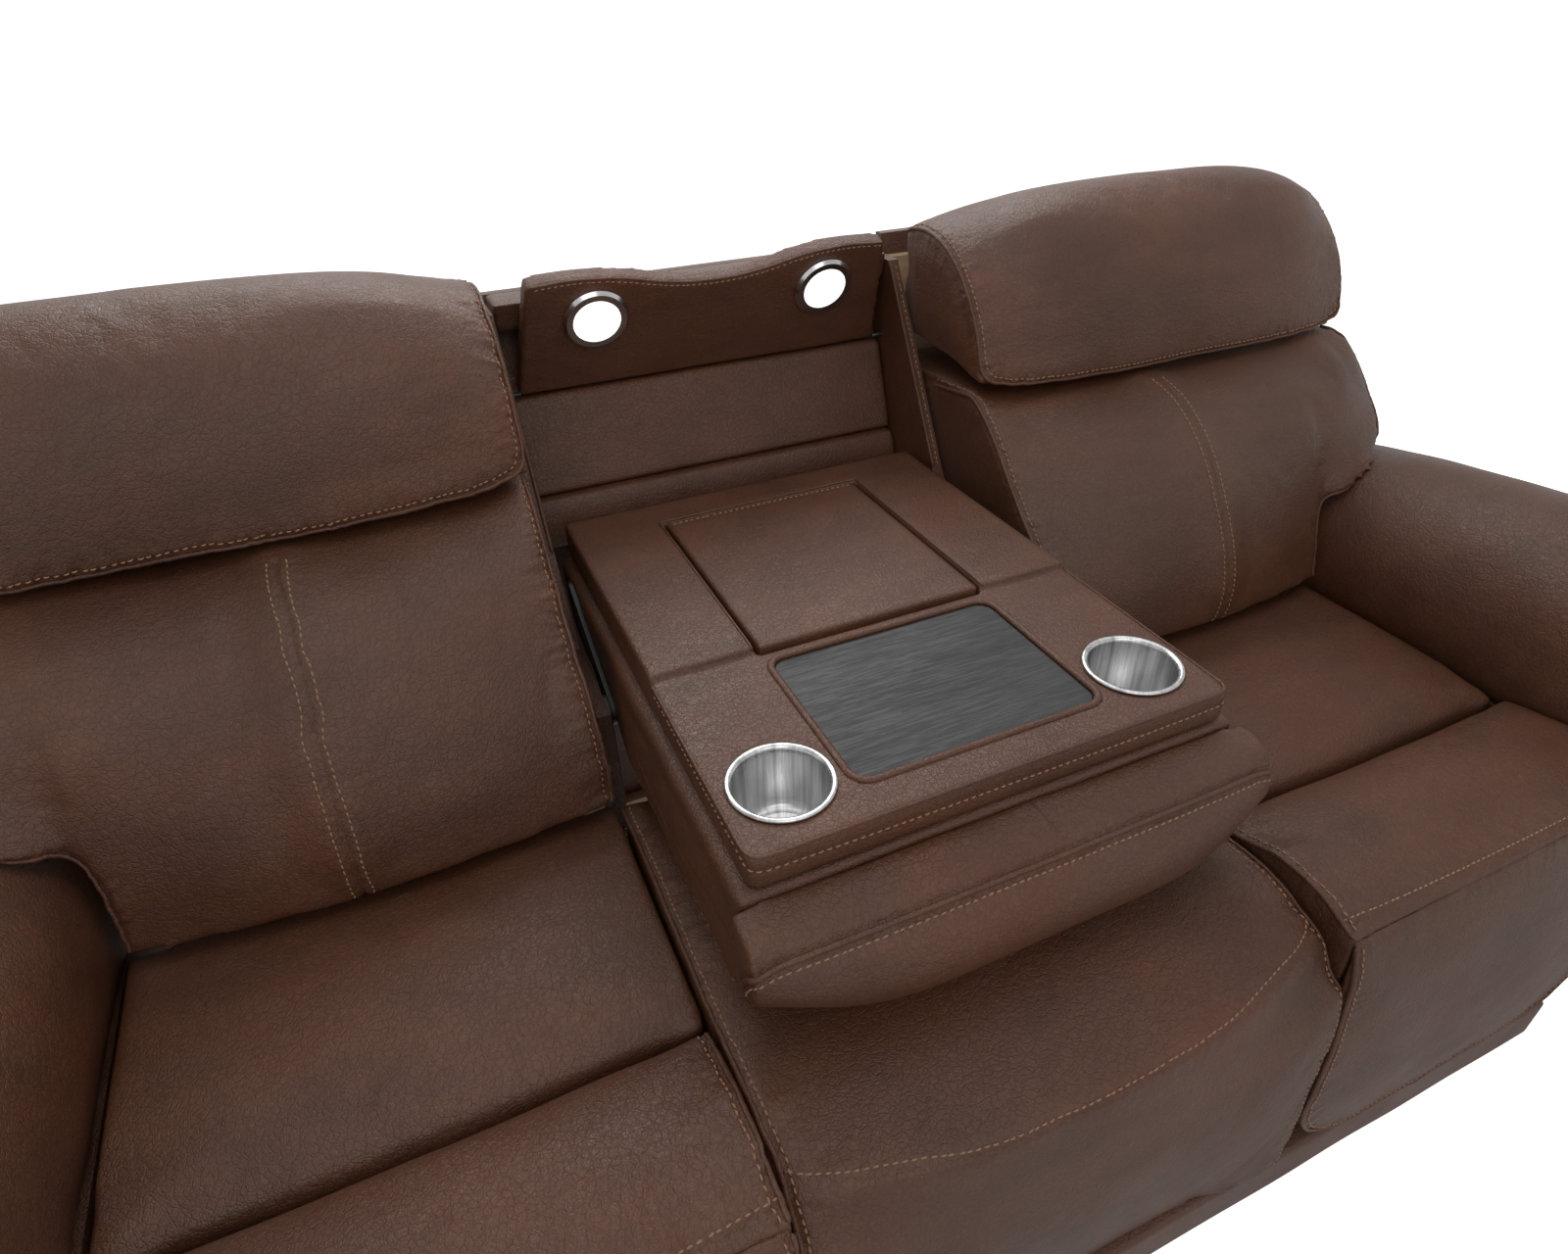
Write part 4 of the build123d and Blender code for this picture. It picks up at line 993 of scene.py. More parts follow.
def sew(cover, seams, side=1, seed=1):
    """Presses each seam into the cover, then gives the lines of its welts and of its threads."""
    lines = []
    for k, seam in enumerate(seams):
        line = cover.lay(mirrored(seam.path, side), ease=seam.ease)
        way = np.sign(line.b[len(line.b) // 2] @ mirrored(seam.towards, side)) or 1.0
        lines.append((seam, line, way))
        if seam.pucker:
            cover.pucker(line, seam.reach * MM, seam.pucker * MM, seam.wave * MM, seed + 7 * k, way)
            cover.pucker(line, 0.8 * seam.reach * MM, 0.8 * seam.pucker * MM, 1.2 * seam.wave * MM,
                         seed + 7 * k + 3, -way)
    for seam, line, way in lines:
        if seam.welt:
            cover.press(line.beside(way * 4.6 * MM), 2.6 * MM, seam.groove * MM)
            cover.press(line.beside(-way * 3.8 * MM), 2.6 * MM, 0.7 * seam.groove * MM)
        else:
            cover.press(line, 2.2 * MM, seam.groove * MM)
        for row in seam.rows:
            cover.press(line.beside(way * row * MM), 2.4 * MM, 0.6 * MM)
    welts = [(cover.onto(line), seam.welt * MM) for seam, line, _ in lines if seam.welt]
    threads = [cover.onto(line.beside(way * row * MM)) for seam, line, way in lines for row in seam.rows]
    return welts, threads


def dress(name, side=1, welt_kind="welt"):
    """Puts a pad with its welts and threads on the side asked for."""
    pad = PADS[name]
    cover = pad.cover if side > 0 else pad.cover.mirror()
    nodes = list(pad.nodes)
    label = name
    if nodes[0].startswith("right_"):
        which = "right" if side > 0 else "left"
        nodes = [node.replace("right", which) for node in nodes]
        label = f"{which}_{name}"
    welts, threads = sew(cover, pad.seams, side, 11 * len(name) + (side < 0))
    body = NODE_BODY[nodes[0]]
    put(f"{label}_leather", mesh_from(label, cover.v, cover.f), leather_finish(pad.kind), body,
        nodes)
    put_welts(f"{label}_welt", body, welts, leather_finish(welt_kind))
    put_thread(f"{label}_thread", body, threads, 3 + len(name))
    return cover


PADS = {}


def stuff_pads():
    """Blows every cushion up inside its seams, all in the same steps."""
    PADS.update(all_pads())
    scene = bpy.context.scene
    for pad in PADS.values():
        pad.start()
    stuffed = [pad for pad in PADS.values() if pad.pressure]
    for pad in stuffed:
        pad.cloth()
    for step in range(1, scene.sofa_padding.steps + 1):
        scene.frame_set(step)
    for pad in stuffed:
        pad.take()
    scene.frame_set(1)
    for pad in PADS.values():
        pad.close()


# ---------------------------------------------------------------- how the pads are formed
DOWN, UP, REAR, FRONT, INNER, OUTER = (0, 0, -1), (0, 0, 1), (0, 1, 0), (0, -1, 0), (-1, 0, 0), (1, 0, 0)

# Places in millimetres: a side seat and its footrest, the end of the middle seat, the cups and the tray.
SEAT_INNER, SEAT_OUTER = 306, 812
FOOT_LOW, FOOT_TOP = 125, 500
FOOT_REAR, FOOT_EDGE = -492, -508
FOOT_TURN = 125
MIDDLE_END = 302
CUP_X, CUP_Y, CUP_FLOOR = 198, -240, 632.5
TRAY_HALF, TRAY_FRONT, TRAY_REAR, TRAY_BED = 134.6, -268.6, -68.4, 693.6


def mirrored_on(half):
    """A line that ends on the middle plane, carried on as its own mirror image."""
    return np.vstack((half, mirrored(half, -1)[-2::-1]))


def across(at, low, high):
    """-1 at the low end, 0 half way and 1 at the high end; the ends are in millimetres."""
    return np.clip((at / MM - (low + high) / 2) / ((high - low) / 2), -1, 1)


def droop(p):
    """The front edge of a headrest hangs a little over the back."""
    x, y, z = p.T
    return np.column_stack((x, y, z - 8 * MM * slope(z, 905, 860) * slope(y, 310, 235)))


def hug_arm(p):
    """The back's wing comes down onto the arm without a step, and its end stands a little taller."""
    x, y, z = p.T
    low, high = 600 * MM, 690 * MM
    foot = table(x, (700, -18), (760, -4), (790, 4), (811, 10))
    face = foot + (31 * MM - foot) * np.clip((z - low) / (high - low), 0, 1)
    flush = (x > 700 * MM) & (z > low) & (z < high - 0.5 * MM) & (y < 110 * MM)
    y = np.where(flush, np.minimum(y, face), y)
    y = y - 14 * MM * slope(z, 750, 690) * slope(z, 600, 650) * slope(x, 805, 840) * slope(y, 200, 110)
    drop = table(x, (806, 58), (820, 50), (830, 41), (845, 33), (880, 18), (920, 8), (950, 1), (975, 0))
    share = slope(x, 796, 810) * slope(z, 785, 688) * slope(z, 630, 682) * slope(y, 200, 130)
    rise = 11 * MM * slope(x, 830, 925) * slope(z, 755, 812) + 4 * MM * slope(z, 780, 815)
    return np.column_stack((x, y, z - drop * share + rise))


def crown_bolster(p):
    """The roll in front of a seat is fullest over its front and falls to the footrest's top."""
    x, y, z = p.T
    inner = table(y, (-486, 10), (-473, 15), (-455, 23), (-425, 26), (-385, 22), (-348, 6), (-320, 0))
    middle = table(y, (-486, 7), (-473, 8), (-455, 11), (-425, 13), (-385, 10), (-348, 3), (-320, 0))
    share = np.exp(-np.clip(x - SEAT_INNER * MM, 0, 1) / (90 * MM))
    rise = middle + (inner - middle) * share
    return np.column_stack((x, y - 4 * MM * slope(y, -478, -485), z + rise * slope(z, 440, 488)))


def foot_front(x, z):
    """How far forward the footrest's face stands."""
    u = across(x, SEAT_INNER, SEAT_OUTER)
    face = table(z, (FOOT_LOW, -517), (200, -521.5), (274, -521.5), (346, -518), (402, -512), (454, -506.5),
                 (470, -503.5), (485, -499.5), (491, -497), (496, -494), (FOOT_TOP, -490.5))
    return face - 3 * MM * (1 - u * u) * slope(z, 500, 480)


def lean_footrest(p):
    """The footrest's face leans back under the bolster and is fullest low down."""
    x, y, z = p.T
    u, w = across(x, SEAT_INNER, SEAT_OUTER), across(z, FOOT_LOW, FOOT_TOP)
    board = FOOT_REAR * MM
    flat = FOOT_EDGE * MM - 4 * MM * (1 - w * w) - 10 * MM * (1 - u * u) * (1 - w * w)
    depth = np.clip((board - y) / (board - flat), 0, 1)
    rear = board + 4 * MM * slope(z, 470, 498)
    face = rear + depth * (foot_front(x, z) - rear)
    return np.column_stack((x, np.where(y < board + 0.5 * MM, face, y), z))


def lead_middle(p):
    """The ends of the middle seat's front come as far forward as its middle."""
    x, y, z = p.T
    share = slope(abs(x), 140, MIDDLE_END) * slope(y, -340, -455)
    lead = table(z, (120, 36), (265, 22), (404, 24), (436, 20), (468, 7), (488, 0))
    crest = np.exp(-(((y / MM + 395) / 45) ** 2))
    rise = 9 * MM * crest * slope(abs(x), 150, MIDDLE_END) * slope(z, 440, 490)
    return np.column_stack((x, y - lead * share, z + rise))


def brow_forward(p):
    """The console's front roll: its brow runs nearly straight and its face rises to its ends."""
    x, y, z = p.T
    push = table(abs(x), (0, 0), (180, 2), (230, 8), (260, 14), (275, 19), (282, 22))
    y = y - push * slope(y, -320, -338) * slope(z, 545, 600)
    lift = 24 * MM * slope(abs(x), 150, 284) * np.clip((640 * MM - z) / (95 * MM), 0, 1)
    return np.column_stack((x, y, z + lift))


def skirt_out(p):
    """The leather in front of the base is padded out between the arms."""
    x, y, z = p.T
    half, board_middle = 809.5 * MM, -478 * MM
    return np.column_stack((np.clip(x, -half, half), y - 31 * MM * (y < board_middle), z))


def clear_cups(cover, radius):
    """Opens the leather round each cup to a radius in millimetres."""
    for side in (-1, 1):
        gap = cover.v[:, :2] - np.array((side * CUP_X, CUP_Y)) * MM
        far = np.linalg.norm(gap, axis=1)
        inside = (far < radius * MM) & (far > 5 * MM) & (cover.v[:, 2] > CUP_FLOOR * MM)
        cover.v[inside, :2] += gap[inside] * (radius * MM / far[inside] - 1)[:, None]


def clear_console_top(cover):
    """Keeps the console's leather clear of the cups and of the tray."""
    clear_cups(cover, 47.4)
    x, y, z = cover.v.T / MM
    under = (abs(x) < TRAY_HALF) & (y > TRAY_FRONT) & (y < TRAY_REAR)
    cover.v[under, 2] = np.minimum(z[under], TRAY_BED) * MM


def plump_body(cover):
    """The lower sides of the console's box bulge out over the seat."""
    x, y, z = cover.v.T / MM
    low = np.clip((640 - z) / 80, 0, 1)
    front = np.clip((100 - y) / 80, 0, 1)
    outside = np.clip((abs(x) - 220) / 50, 0, 1)
    cover.v[:, 0] += np.sign(x) * outside * front * 7 * MM * low * (2 - low)
    clear_cups(cover, 46.6)


# ---------------------------------------------------------------- where the seams of each pad run
def headrest_pad():
    """A headrest: one welt round its face, one along its top."""
    node = "right_headrest"
    edge = crisp_path(node, (305, 428, 1006), (305, 214, 850), (981, 214, 850), (981, 428, 1006))
    edge = droop(eased(evenly(edge, 3 * MM), 7, 2))
    seams = [
        Seam(edge, UP, reach=60, pucker=2.2, ease=6),
        Seam(crisp_path(node, (305, 428, 1006), (981, 428, 1006)), FRONT, rows=(), pucker=0),
    ]
    return Pad(
        node, 6.0, seams, holds=[crisp_path(node, (305, 440, 866), (981, 440, 866))], rests=[DOWN],
        margins=(1.5, 5, 6, 3, 0, 3), shrink=7, pressure=1.0, cuts=[((0, 0, 840), DOWN)], swell=0.5,
        form=droop,
    )


def back_pad():
    """A back cushion: welts up both edges and a sewn seam with two rows of stitches up its middle."""
    node = "right_back_cushion"
    inner = np.vstack((
        mm((308, 330, 806), (308, 285, 812), (308, 256, 816)),
        crisp_path(node, (308, -12, 520), (308, 236, 820))[::-1],
    ))
    outer = mm(
        (803, -10, 522), (806, -3, 560), (808, 5, 595), (812, 12, 622), (826, 18, 642), (845, 22, 653),
        (880, 34, 667), (920, 50, 681), (950, 70, 699), (968, 92, 720), (974, 122, 752), (973, 155, 786),
        (966, 195, 815), (957, 225, 828),
    )
    centre = mm(
        (581, -30, 519), (580, -34, 591), (579, -18, 649), (578, 15, 715), (577, 55, 765), (577, 107, 801),
        (577, 173, 818),
    )
    wing_root = mm(
        (806, 6, 596), (810, 20, 625), (812, 60, 640), (806, 150, 660), (806, 300, 684), (806, 420, 684)
    )
    seams = [
        Seam(inner, OUTER, pucker=2.4),
        Seam(outer, INNER, pucker=2.2, ease=7),
        Seam(centre, INNER, welt=0, rows=(-9.5, 9.5), groove=2.6, pucker=0.8, reach=30),
    ]
    return Pad(
        node, 7.0, seams, holds=[crisp_path(node, (308, -12, 520), (802, -12, 520))],
        rests=[REAR, DOWN, INNER], margins=(1.5, 3, 14, 0, 0, 8.5), shrink=9, pressure=1.0,
        soft=[(wing_root, 50, 12)], swell=0.8, form=hug_arm, merge=True,
    )


def seat_pad():
    """A seat cushion: plain, tucked in at its sides."""
    node = "right_seat_cushion"
    sides = [crisp_path(node, (x, -300, 492), (x, 20, 500)) for x in (SEAT_INNER, SEAT_OUTER)]
    front = crisp_path(node, (SEAT_INNER, -300, 492), (SEAT_OUTER, -300, 492))
    return Pad(
        node, 7.0, holds=sides, rests=[DOWN, REAR], margins=(1, 1, 1.2, 0, 0, 4), shrink=7, pressure=1.0,
        swell=0.8, soft=[(front, 26, 8)],
    )


def bolster_pad():
    """The roll in front of a seat: a welt at its inner end and a row of stitches along its front."""
    node = "right_seat_bolster"
    inner = crisp_path(node, (SEAT_INNER, -303, 500), (SEAT_INNER, -486, 492))
    outer = crisp_path(node, (SEAT_OUTER, -486, 492), (SEAT_OUTER, -303, 500))
    front = crisp_path(node, (SEAT_INNER, -486, 492), (SEAT_OUTER, -486, 492))
    rear = crisp_path(node, (SEAT_INNER, -303, 500), (SEAT_OUTER, -303, 500))
    sewn = mm((306, -476, 508), (369, -479, 507), (460, -481, 506), (560, -482, 506), (700, -481, 506),
              (812, -478, 505))
    seams = [
        Seam(crown_bolster(inner), OUTER, reach=60, pucker=2.6),
        Seam(sewn, UP, welt=0, rows=(5.0,), groove=1.2, pucker=1.6, wave=17),
    ]
    return Pad(
        node, 6.0, seams, holds=[crown_bolster(outer), crown_bolster(front)], rests=[DOWN, FRONT],
        margins=(1, 1, 5, 1.2, 0, 14), shrink=4, pressure=0.9, swell=0.8, rounds=1, soft=[(rear, 30, 8)],
        form=crown_bolster,
    )


def footrest_pad():
    """A footrest's panel: a welt down its ends and along its foot, with round lower corners."""
    top = mm(*((x, -490, 500) for x in (306, 400, 500, 600, 700, 812)))
    turn_x, turn_z = SEAT_INNER + FOOT_TURN, FOOT_LOW + FOOT_TURN
    corner = [(turn_x - FOOT_TURN * math.cos(a), turn_z - FOOT_TURN * math.sin(a))
              for a in np.radians((0, 15, 30, 45, 60, 75, 90))]
    line = [(306, 496), (306, 440), (306, 330), *corner, (560, 125), (700, 125), (755, 126), (790, 144),
            (811, 185), (812, 260), (812, 380), (812, 496)]
    edge = np.array([(x * MM, foot_front(x * MM, z * MM), z * MM) for x, z in line])
    seams = [
        Seam(edge, (0.7, 0, 0.7), pucker=1.6, reach=40),
        Seam(top, DOWN, welt=0, rows=(), groove=0.3, pucker=1.6, reach=45, wave=16),
    ]
    low = FOOT_LOW * MM
    corners = [((0, 2), (SEAT_INNER * MM, low), FOOT_TURN * MM), ((0, 2), (SEAT_OUTER * MM, low), 60 * MM)]
    return Pad(
        "right_footrest", 5.0, seams, rests=[REAR], margins=(0.5, 0.5, 6, 0, 0, 1), shrink=1, pressure=0.6,
        rounds=3, cuts=[((0, FOOT_REAR, 0), REAR)], swell=0.6, form=lean_footrest, corners=corners,
    )


def arm_pad():
    """An arm's round padding, without a seam that shows."""
    return Pad("right_arm_pad", 8.0, rests=[DOWN], margins=(1, 4, 1, 2, 0, 4), shrink=4, pressure=0.8,
               rounds=12, swell=1.0)


def middle_seat_pad():
    """The middle seat and its front in one: welts down both ends and an arc of stitches over the nose."""
    nose = crisp_path("middle_seat_cushion", (MIDDLE_END, -470, 492), (-MIDDLE_END, -470, 492))
    end = lead_middle(mm(
        (302, 10, 500), (302, -150, 503), (302, -300, 501), (302, -380, 500), (302, -430, 498),
        (301, -456, 488), (301, -472, 462), (302, -484, 420), (302, -492, 330), (302, -494, 240),
        (302, -486, 124),
    ))
    arc = mirrored_on(mm((300, -452, 494), (270, -466, 490), (213, -482, 486), (140, -495, 484),
                         (69, -502, 483), (0, -505, 482)))
    seams = [
        *both(Seam(end, INNER, rows=(8.0,), pucker=2.4)),
        Seam(arc, UP, welt=0, rows=(5.0,), groove=1.6, pucker=1.0, reach=35),
    ]
    return Pad(
        ["middle_seat_cushion", "middle_front_panel"], 7.0, seams, rests=[DOWN, REAR],
        margins=(0.6, 0.6, 4, 0, 0, 9), shrink=7, pressure=1.0, overlap=40, soft=[(nose, 55, 22)],
        swell=0.8, form=lead_middle,
    )


def skirt_pad():
    """The leather in front of the base, below the footrests."""
    return Pad("base_skirt", 5.0, rounds=4, margins=(0, 0, 31, 0, 0, 0), kind="smooth", fill=0.9,
               form=skirt_out, levels=0, swell=0.5)


PLAIN = {"kind": "smooth", "fill": 0.9}


def console_roll_pad():
    """The console's front: a welt along its brow and short seams across the slope above it."""
    brow = mirrored_on(mm(
        (-282, -338, 588), (-284, -346, 606), (-281, -357, 624), (-272, -364, 635), (-254, -368, 641),
        (-180, -370, 642), (0, -371, 642),
    ))
    seams = [
        Seam(brow, DOWN, pucker=1.2, reach=30),
        Seam(mm((19, -322, 666), (24, -340, 661), (30, -365, 646)), OUTER, welt=0, rows=(), groove=1.6,
             pucker=0.5, reach=25),
        *both(Seam(mm((268, -322, 663), (269, -332, 657), (271, -341, 651)), INNER, welt=0, rows=(),
                   groove=1.4, pucker=0.6, reach=25)),
    ]
    return Pad(
        "console_roll", 5.0, seams, rests=[REAR], margins=(1, 1, 7, 0, 3, 1), shrink=2, pressure=0.8,
        kind="sloped", swell=0.5, form=brow_forward,
    )


def console_top_pad():
    """The console's top: a welt round its lip, stitches below it, a welt round the lid's opening."""
    lip = mirrored_on(mm(
        (-260, -52, 707), (-260, -120, 708), (-260, -220, 708), (-260, -290, 708), (-257.5, -308, 708),
        (-248, -314, 708), (-150, -314, 708), (0, -314, 708),
    ))
    stitched = mirrored_on(mm(
        (-260, -56, 698), (-260, -160, 697), (-260, -285, 695), (-257, -308, 693), (-246, -314, 691),
        (-120, -314, 689), (0, -314, 689),
    ))
    opening = mirrored_on(mm((-144.5, -52, 716), (-144.5, 60, 716), (-144.5, 180, 716),
                             (-144.5, 262, 716), (-138, 269, 716), (0, 269, 716)))
    cross = mm((146, -48, 709), (180, -49, 709), (220, -49, 709), (258, -49, 709))
    seams = [
        Seam(lip, INNER, welt=1.8, rows=(), groove=0.8, pucker=0),
        Seam(stitched, DOWN, welt=0, groove=0.5, rows=(0.0,), pucker=0),
        Seam(opening, OUTER, welt=1.7, rows=(), groove=0.8, pucker=0),
        *both(Seam(cross, REAR, welt=0, rows=(), groove=2.2, pucker=0.8, reach=25)),
    ]
    return Pad("console_top", 3.5, seams, margins=(1.5, 1.5, 1.5, 1, 0, 2), rounds=3, levels=0,
               shape=clear_console_top, **PLAIN)


def console_body_pad():
    """The console's box: a welt along the foot of each side and a seam above it."""
    foot = mm((278, 60, 548), (279, -60, 545), (279, -180, 545), (278, -312, 547))
    crease = mm((277, 40, 640), (279, -40, 596), (280, -150, 590), (279, -300, 610))
    seams = both(Seam(foot, UP, welt=2.4, rows=(7.0,), pucker=1.4),
                 Seam(crease, UP, welt=0, rows=(), groove=1.4, pucker=1.0))
    return Pad("console_body", 6.0, seams, margins=(8, 8, 2, 2, 8, 0), rounds=4, shape=plump_body,
               kind="seat", fill=0.8, swell=0.8)


def lid_pad():
    """The lid of the bin: a welt and stitches along its rear edge."""
    ridge = mm((-134, 262, 716), (-60, 263, 716), (60, 263, 716), (134, 262, 716))
    seams = [Seam(ridge, FRONT, welt=1.8, rows=(5.0,), groove=1.0, pucker=0.5, reach=18, wave=10)]
    return Pad("storage_lid", 3.5, seams, margins=(1, 1, 1, 1, 0, 2), rounds=3, levels=0, **PLAIN)


def recess_pad(node, voxel, rounds, margins):
    """A plain covered board of the recess."""
    return Pad(node, voxel, rounds=rounds, margins=margins, **PLAIN)


def light_pad():
    """The panel with the reading lights: a thin welt and stitches along its wavy top."""
    edge = crisp_path("light_panel", (247, 385, 1000), (-247, 385, 1000))
    seams = [Seam(edge, DOWN, welt=1.4, rows=(5.5,), groove=0.7, pucker=0.6, reach=25, wave=20)]
    end = 269.6
    return Pad("light_panel", 3.5, seams, margins=(0.5, 0.5, 1, 1, 0, 1.5), rounds=3, levels=0, swell=0.4,
               cuts=[((end, 0, 0), OUTER), ((-end, 0, 0), INNER)], **PLAIN)


def all_pads():
    """Every pad under its name. A side pad stands for both sides."""
    return {
        "headrest": headrest_pad(),
        "back": back_pad(),
        "seat": seat_pad(),
        "bolster": bolster_pad(),
        "footrest": footrest_pad(),
        "arm": arm_pad(),
        "middle_seat": middle_seat_pad(),
        "skirt": skirt_pad(),
        "console_roll": console_roll_pad(),
        "console_top": console_top_pad(),
        "console_body": console_body_pad(),
        "lid": lid_pad(),
        "recess_roll": recess_pad("recess_roll", 4.0, 14, (0.2, 0.2, 4, 0, 0, 0)),
        "recess_back": recess_pad("recess_back", 5.0, 5, (0.2, 0.2, 2, 0, 0, 0.2)),
        "top_rail": recess_pad("top_rail", 4.0, 4, (0.2, 0.2, 1, 0, 0, 1)),
        "light": light_pad(),
    }


# ---------------------------------------------------------------- hard pieces
def round_ended(first, second, radius, x_low, x_high, segments=14):
    """Points and faces of a round-ended plate that stands across X, with softened rims."""
    a, b = np.array(first, float), np.array(second, float)
    along = (b - a) / np.linalg.norm(b - a)
    start = math.atan2(along[1], along[0])
    outline = [(a, start + math.pi / 2 + math.pi * k / segments) for k in range(segments + 1)]
    outline += [(b, start - math.pi / 2 + math.pi * k / segments) for k in range(segments + 1)]
    rim = min(1.0, (x_high - x_low) / 4)
    rings = []
    steps = ((x_low, radius - rim), (x_low + rim, radius), (x_high - rim, radius), (x_high, radius - rim))
    for x, r in steps:
        rings.append([(x, c[0] + r * math.cos(t), c[1] + r * math.sin(t)) for c, t in outline])
    count = len(outline)
    points = [p for ring in rings for p in ring]
    middle = (a + b) / 2
    points += [(x_low, *middle), (x_high, *middle)]
    faces = []
    for r in range(3):
        for k in range(count):
            n = (k + 1) % count
            faces.append((r * count + k, (r + 1) * count + k, (r + 1) * count + n, r * count + n))
    low, high = len(points) - 2, len(points) - 1
    for k in range(count):
        n = (k + 1) % count
        faces.append((low, k, n, n))
        faces.append((high, 3 * count + n, 3 * count + k, 3 * count + k))
    return mm(*points), np.array(faces)


def turned(profile, centre, segments=96):
    """Points and faces of a shape turned about an upright axis, from (radius, height) pairs."""
    angles = np.linspace(0, 2 * math.pi, segments, endpoint=False)
    points, faces, rings = [], [], []
    for r, z in profile:
        if r < 1e-6:
            rings.append([len(points)])
            points.append((centre[0], centre[1], z))
        else:
            rings.append(list(range(len(points), len(points) + segments)))
            points += [(centre[0] + r * math.cos(t), centre[1] + r * math.sin(t), z) for t in angles]
    for low, high in zip(rings, rings[1:]):
        for k in range(segments):
            n = (k + 1) % segments
            if len(low) == 1:
                faces.append((low[0], high[k], high[n], high[n]))
            elif len(high) == 1:
                faces.append((low[k], low[n], high[0], high[0]))
            else:
                faces.append((low[k], low[n], high[n], high[k]))
    return mm(*points), np.array(faces)


def outward(mesh):
    """The mesh with every face turned to face outwards."""
    bm = bmesh.new()
    bm.from_mesh(mesh)
    bmesh.ops.recalc_face_normals(bm, faces=bm.faces)
    bm.to_mesh(mesh)
    bm.free()
    return mesh


def put_hard(name, parts, finish, body, stands_for=()):
    """Puts a hard piece made of several parts."""
    return put(name, outward(mesh_from(name, *joined(parts))), finish, body, stands_for)


def skin(node):
    """A carried node's own surface, for lines that lie along it."""
    return Cover(*arrays_of(NODES[node].data))


def trim(name, node, welts=(), threads=()):
    """Welts and rows of stitches along a board's covering, from paths in metres."""
    cover = skin(node)
    body = NODE_BODY[node]
    if len(welts):
        put_welts(f"{name}_welt", body, [(cover.lay(p, ease=2), 2.6 * MM) for p in welts],
                  leather_finish("welt"))
    if len(threads):
        put_thread(f"{name}_thread", body, [cover.lay(p, ease=2) for p in threads])


# ---------------------------------------------------------------- operators
class SOFA_OT_stuff(bpy.types.Operator):
    """Stuff the cushions inside their seams"""

    bl_idname = "sofa.stuff"
    bl_label = "Stuff the cushions"

    def execute(self, context):
        stuff_pads()
        return {"FINISHED"}


class SOFA_OT_headrests(bpy.types.Operator):
    """Headrests with a sewn welt round their fronts, and their steel lugs"""

    bl_idname = "sofa.headrests"
    bl_label = "Headrests"

    def execute(self, context):
        for name, side in SIDES.items():
            dress("headrest", side)
            lugs = [round_ended((215, 834), (215, 854), 9, x, x + 30) for x in (458, 626)]
            lugs = [(mirrored(p, side), f) for p, f in lugs]
            put_hard(f"{name}_headrest_lugs", lugs, steel_finish("black"), f"{name}_head")
        return {"FINISHED"}


class SOFA_OT_backs(bpy.types.Operator):
    """Back cushions with a sewn centre seam and edges"""

    bl_idname = "sofa.backs"
    bl_label = "Back cushions"

    def execute(self, context):
        for side in SIDES.values():
            dress("back", side)
        return {"FINISHED"}


class SOFA_OT_seats(bpy.types.Operator):
    """Seat cushions and front bolsters of all three seats"""

    bl_idname = "sofa.seats"
    bl_label = "Seat cushions"

    def execute(self, context):
        for side in SIDES.values():
            dress("seat", side)
            dress("bolster", side)
        dress("middle_seat")
        dress("skirt")
        return {"FINISHED"}


class SOFA_OT_footrests(bpy.types.Operator):
    """Footrest panels and the plates that their links hold"""

    bl_idname = "sofa.footrests"
    bl_label = "Footrests"

    def execute(self, context):
        for name, side in SIDES.items():
            dress("footrest", side)
            plates = [round_ended((-468, 300), (-492, 300), 12, x, x + 5) for x in (350.5, 774.5)]
            plates = [(mirrored(p, side), f) for p, f in plates]
            put_hard(f"{name}_footrest_plates", plates, steel_finish("black"), f"{name}_foot")
        return {"FINISHED"}


class SOFA_OT_arms(bpy.types.Operator):
    """Padded arms"""

    bl_idname = "sofa.arms"
    bl_label = "Arms"

    def execute(self, context):
        for side in SIDES.values():
            dress("arm", side)
        return {"FINISHED"}


# A cup holder as (radius, height) pairs, from under its floor over its flange to its floor inside.
CUP_PROFILE = (
    (0, 633.6), (30, 633.4), (38, 634.2), (43.4, 637), (45.2, 642), (45.2, 706), (46.4, 708.2),
    (49.6, 708.1), (50.8, 708.9), (51.0, 710.0), (50.4, 711.2), (49.0, 711.9), (47.2, 711.8),
    (45.4, 710.6), (44.2, 708.6), (43.9, 704), (43.6, 660), (43.4, 646), (42.0, 640.8),
    (38.6, 637.6), (34.6, 636.6), (33.6, 637.4), (32.6, 637.4), (31.6, 636.4), (14, 635.9),
    (0, 635.8),
)


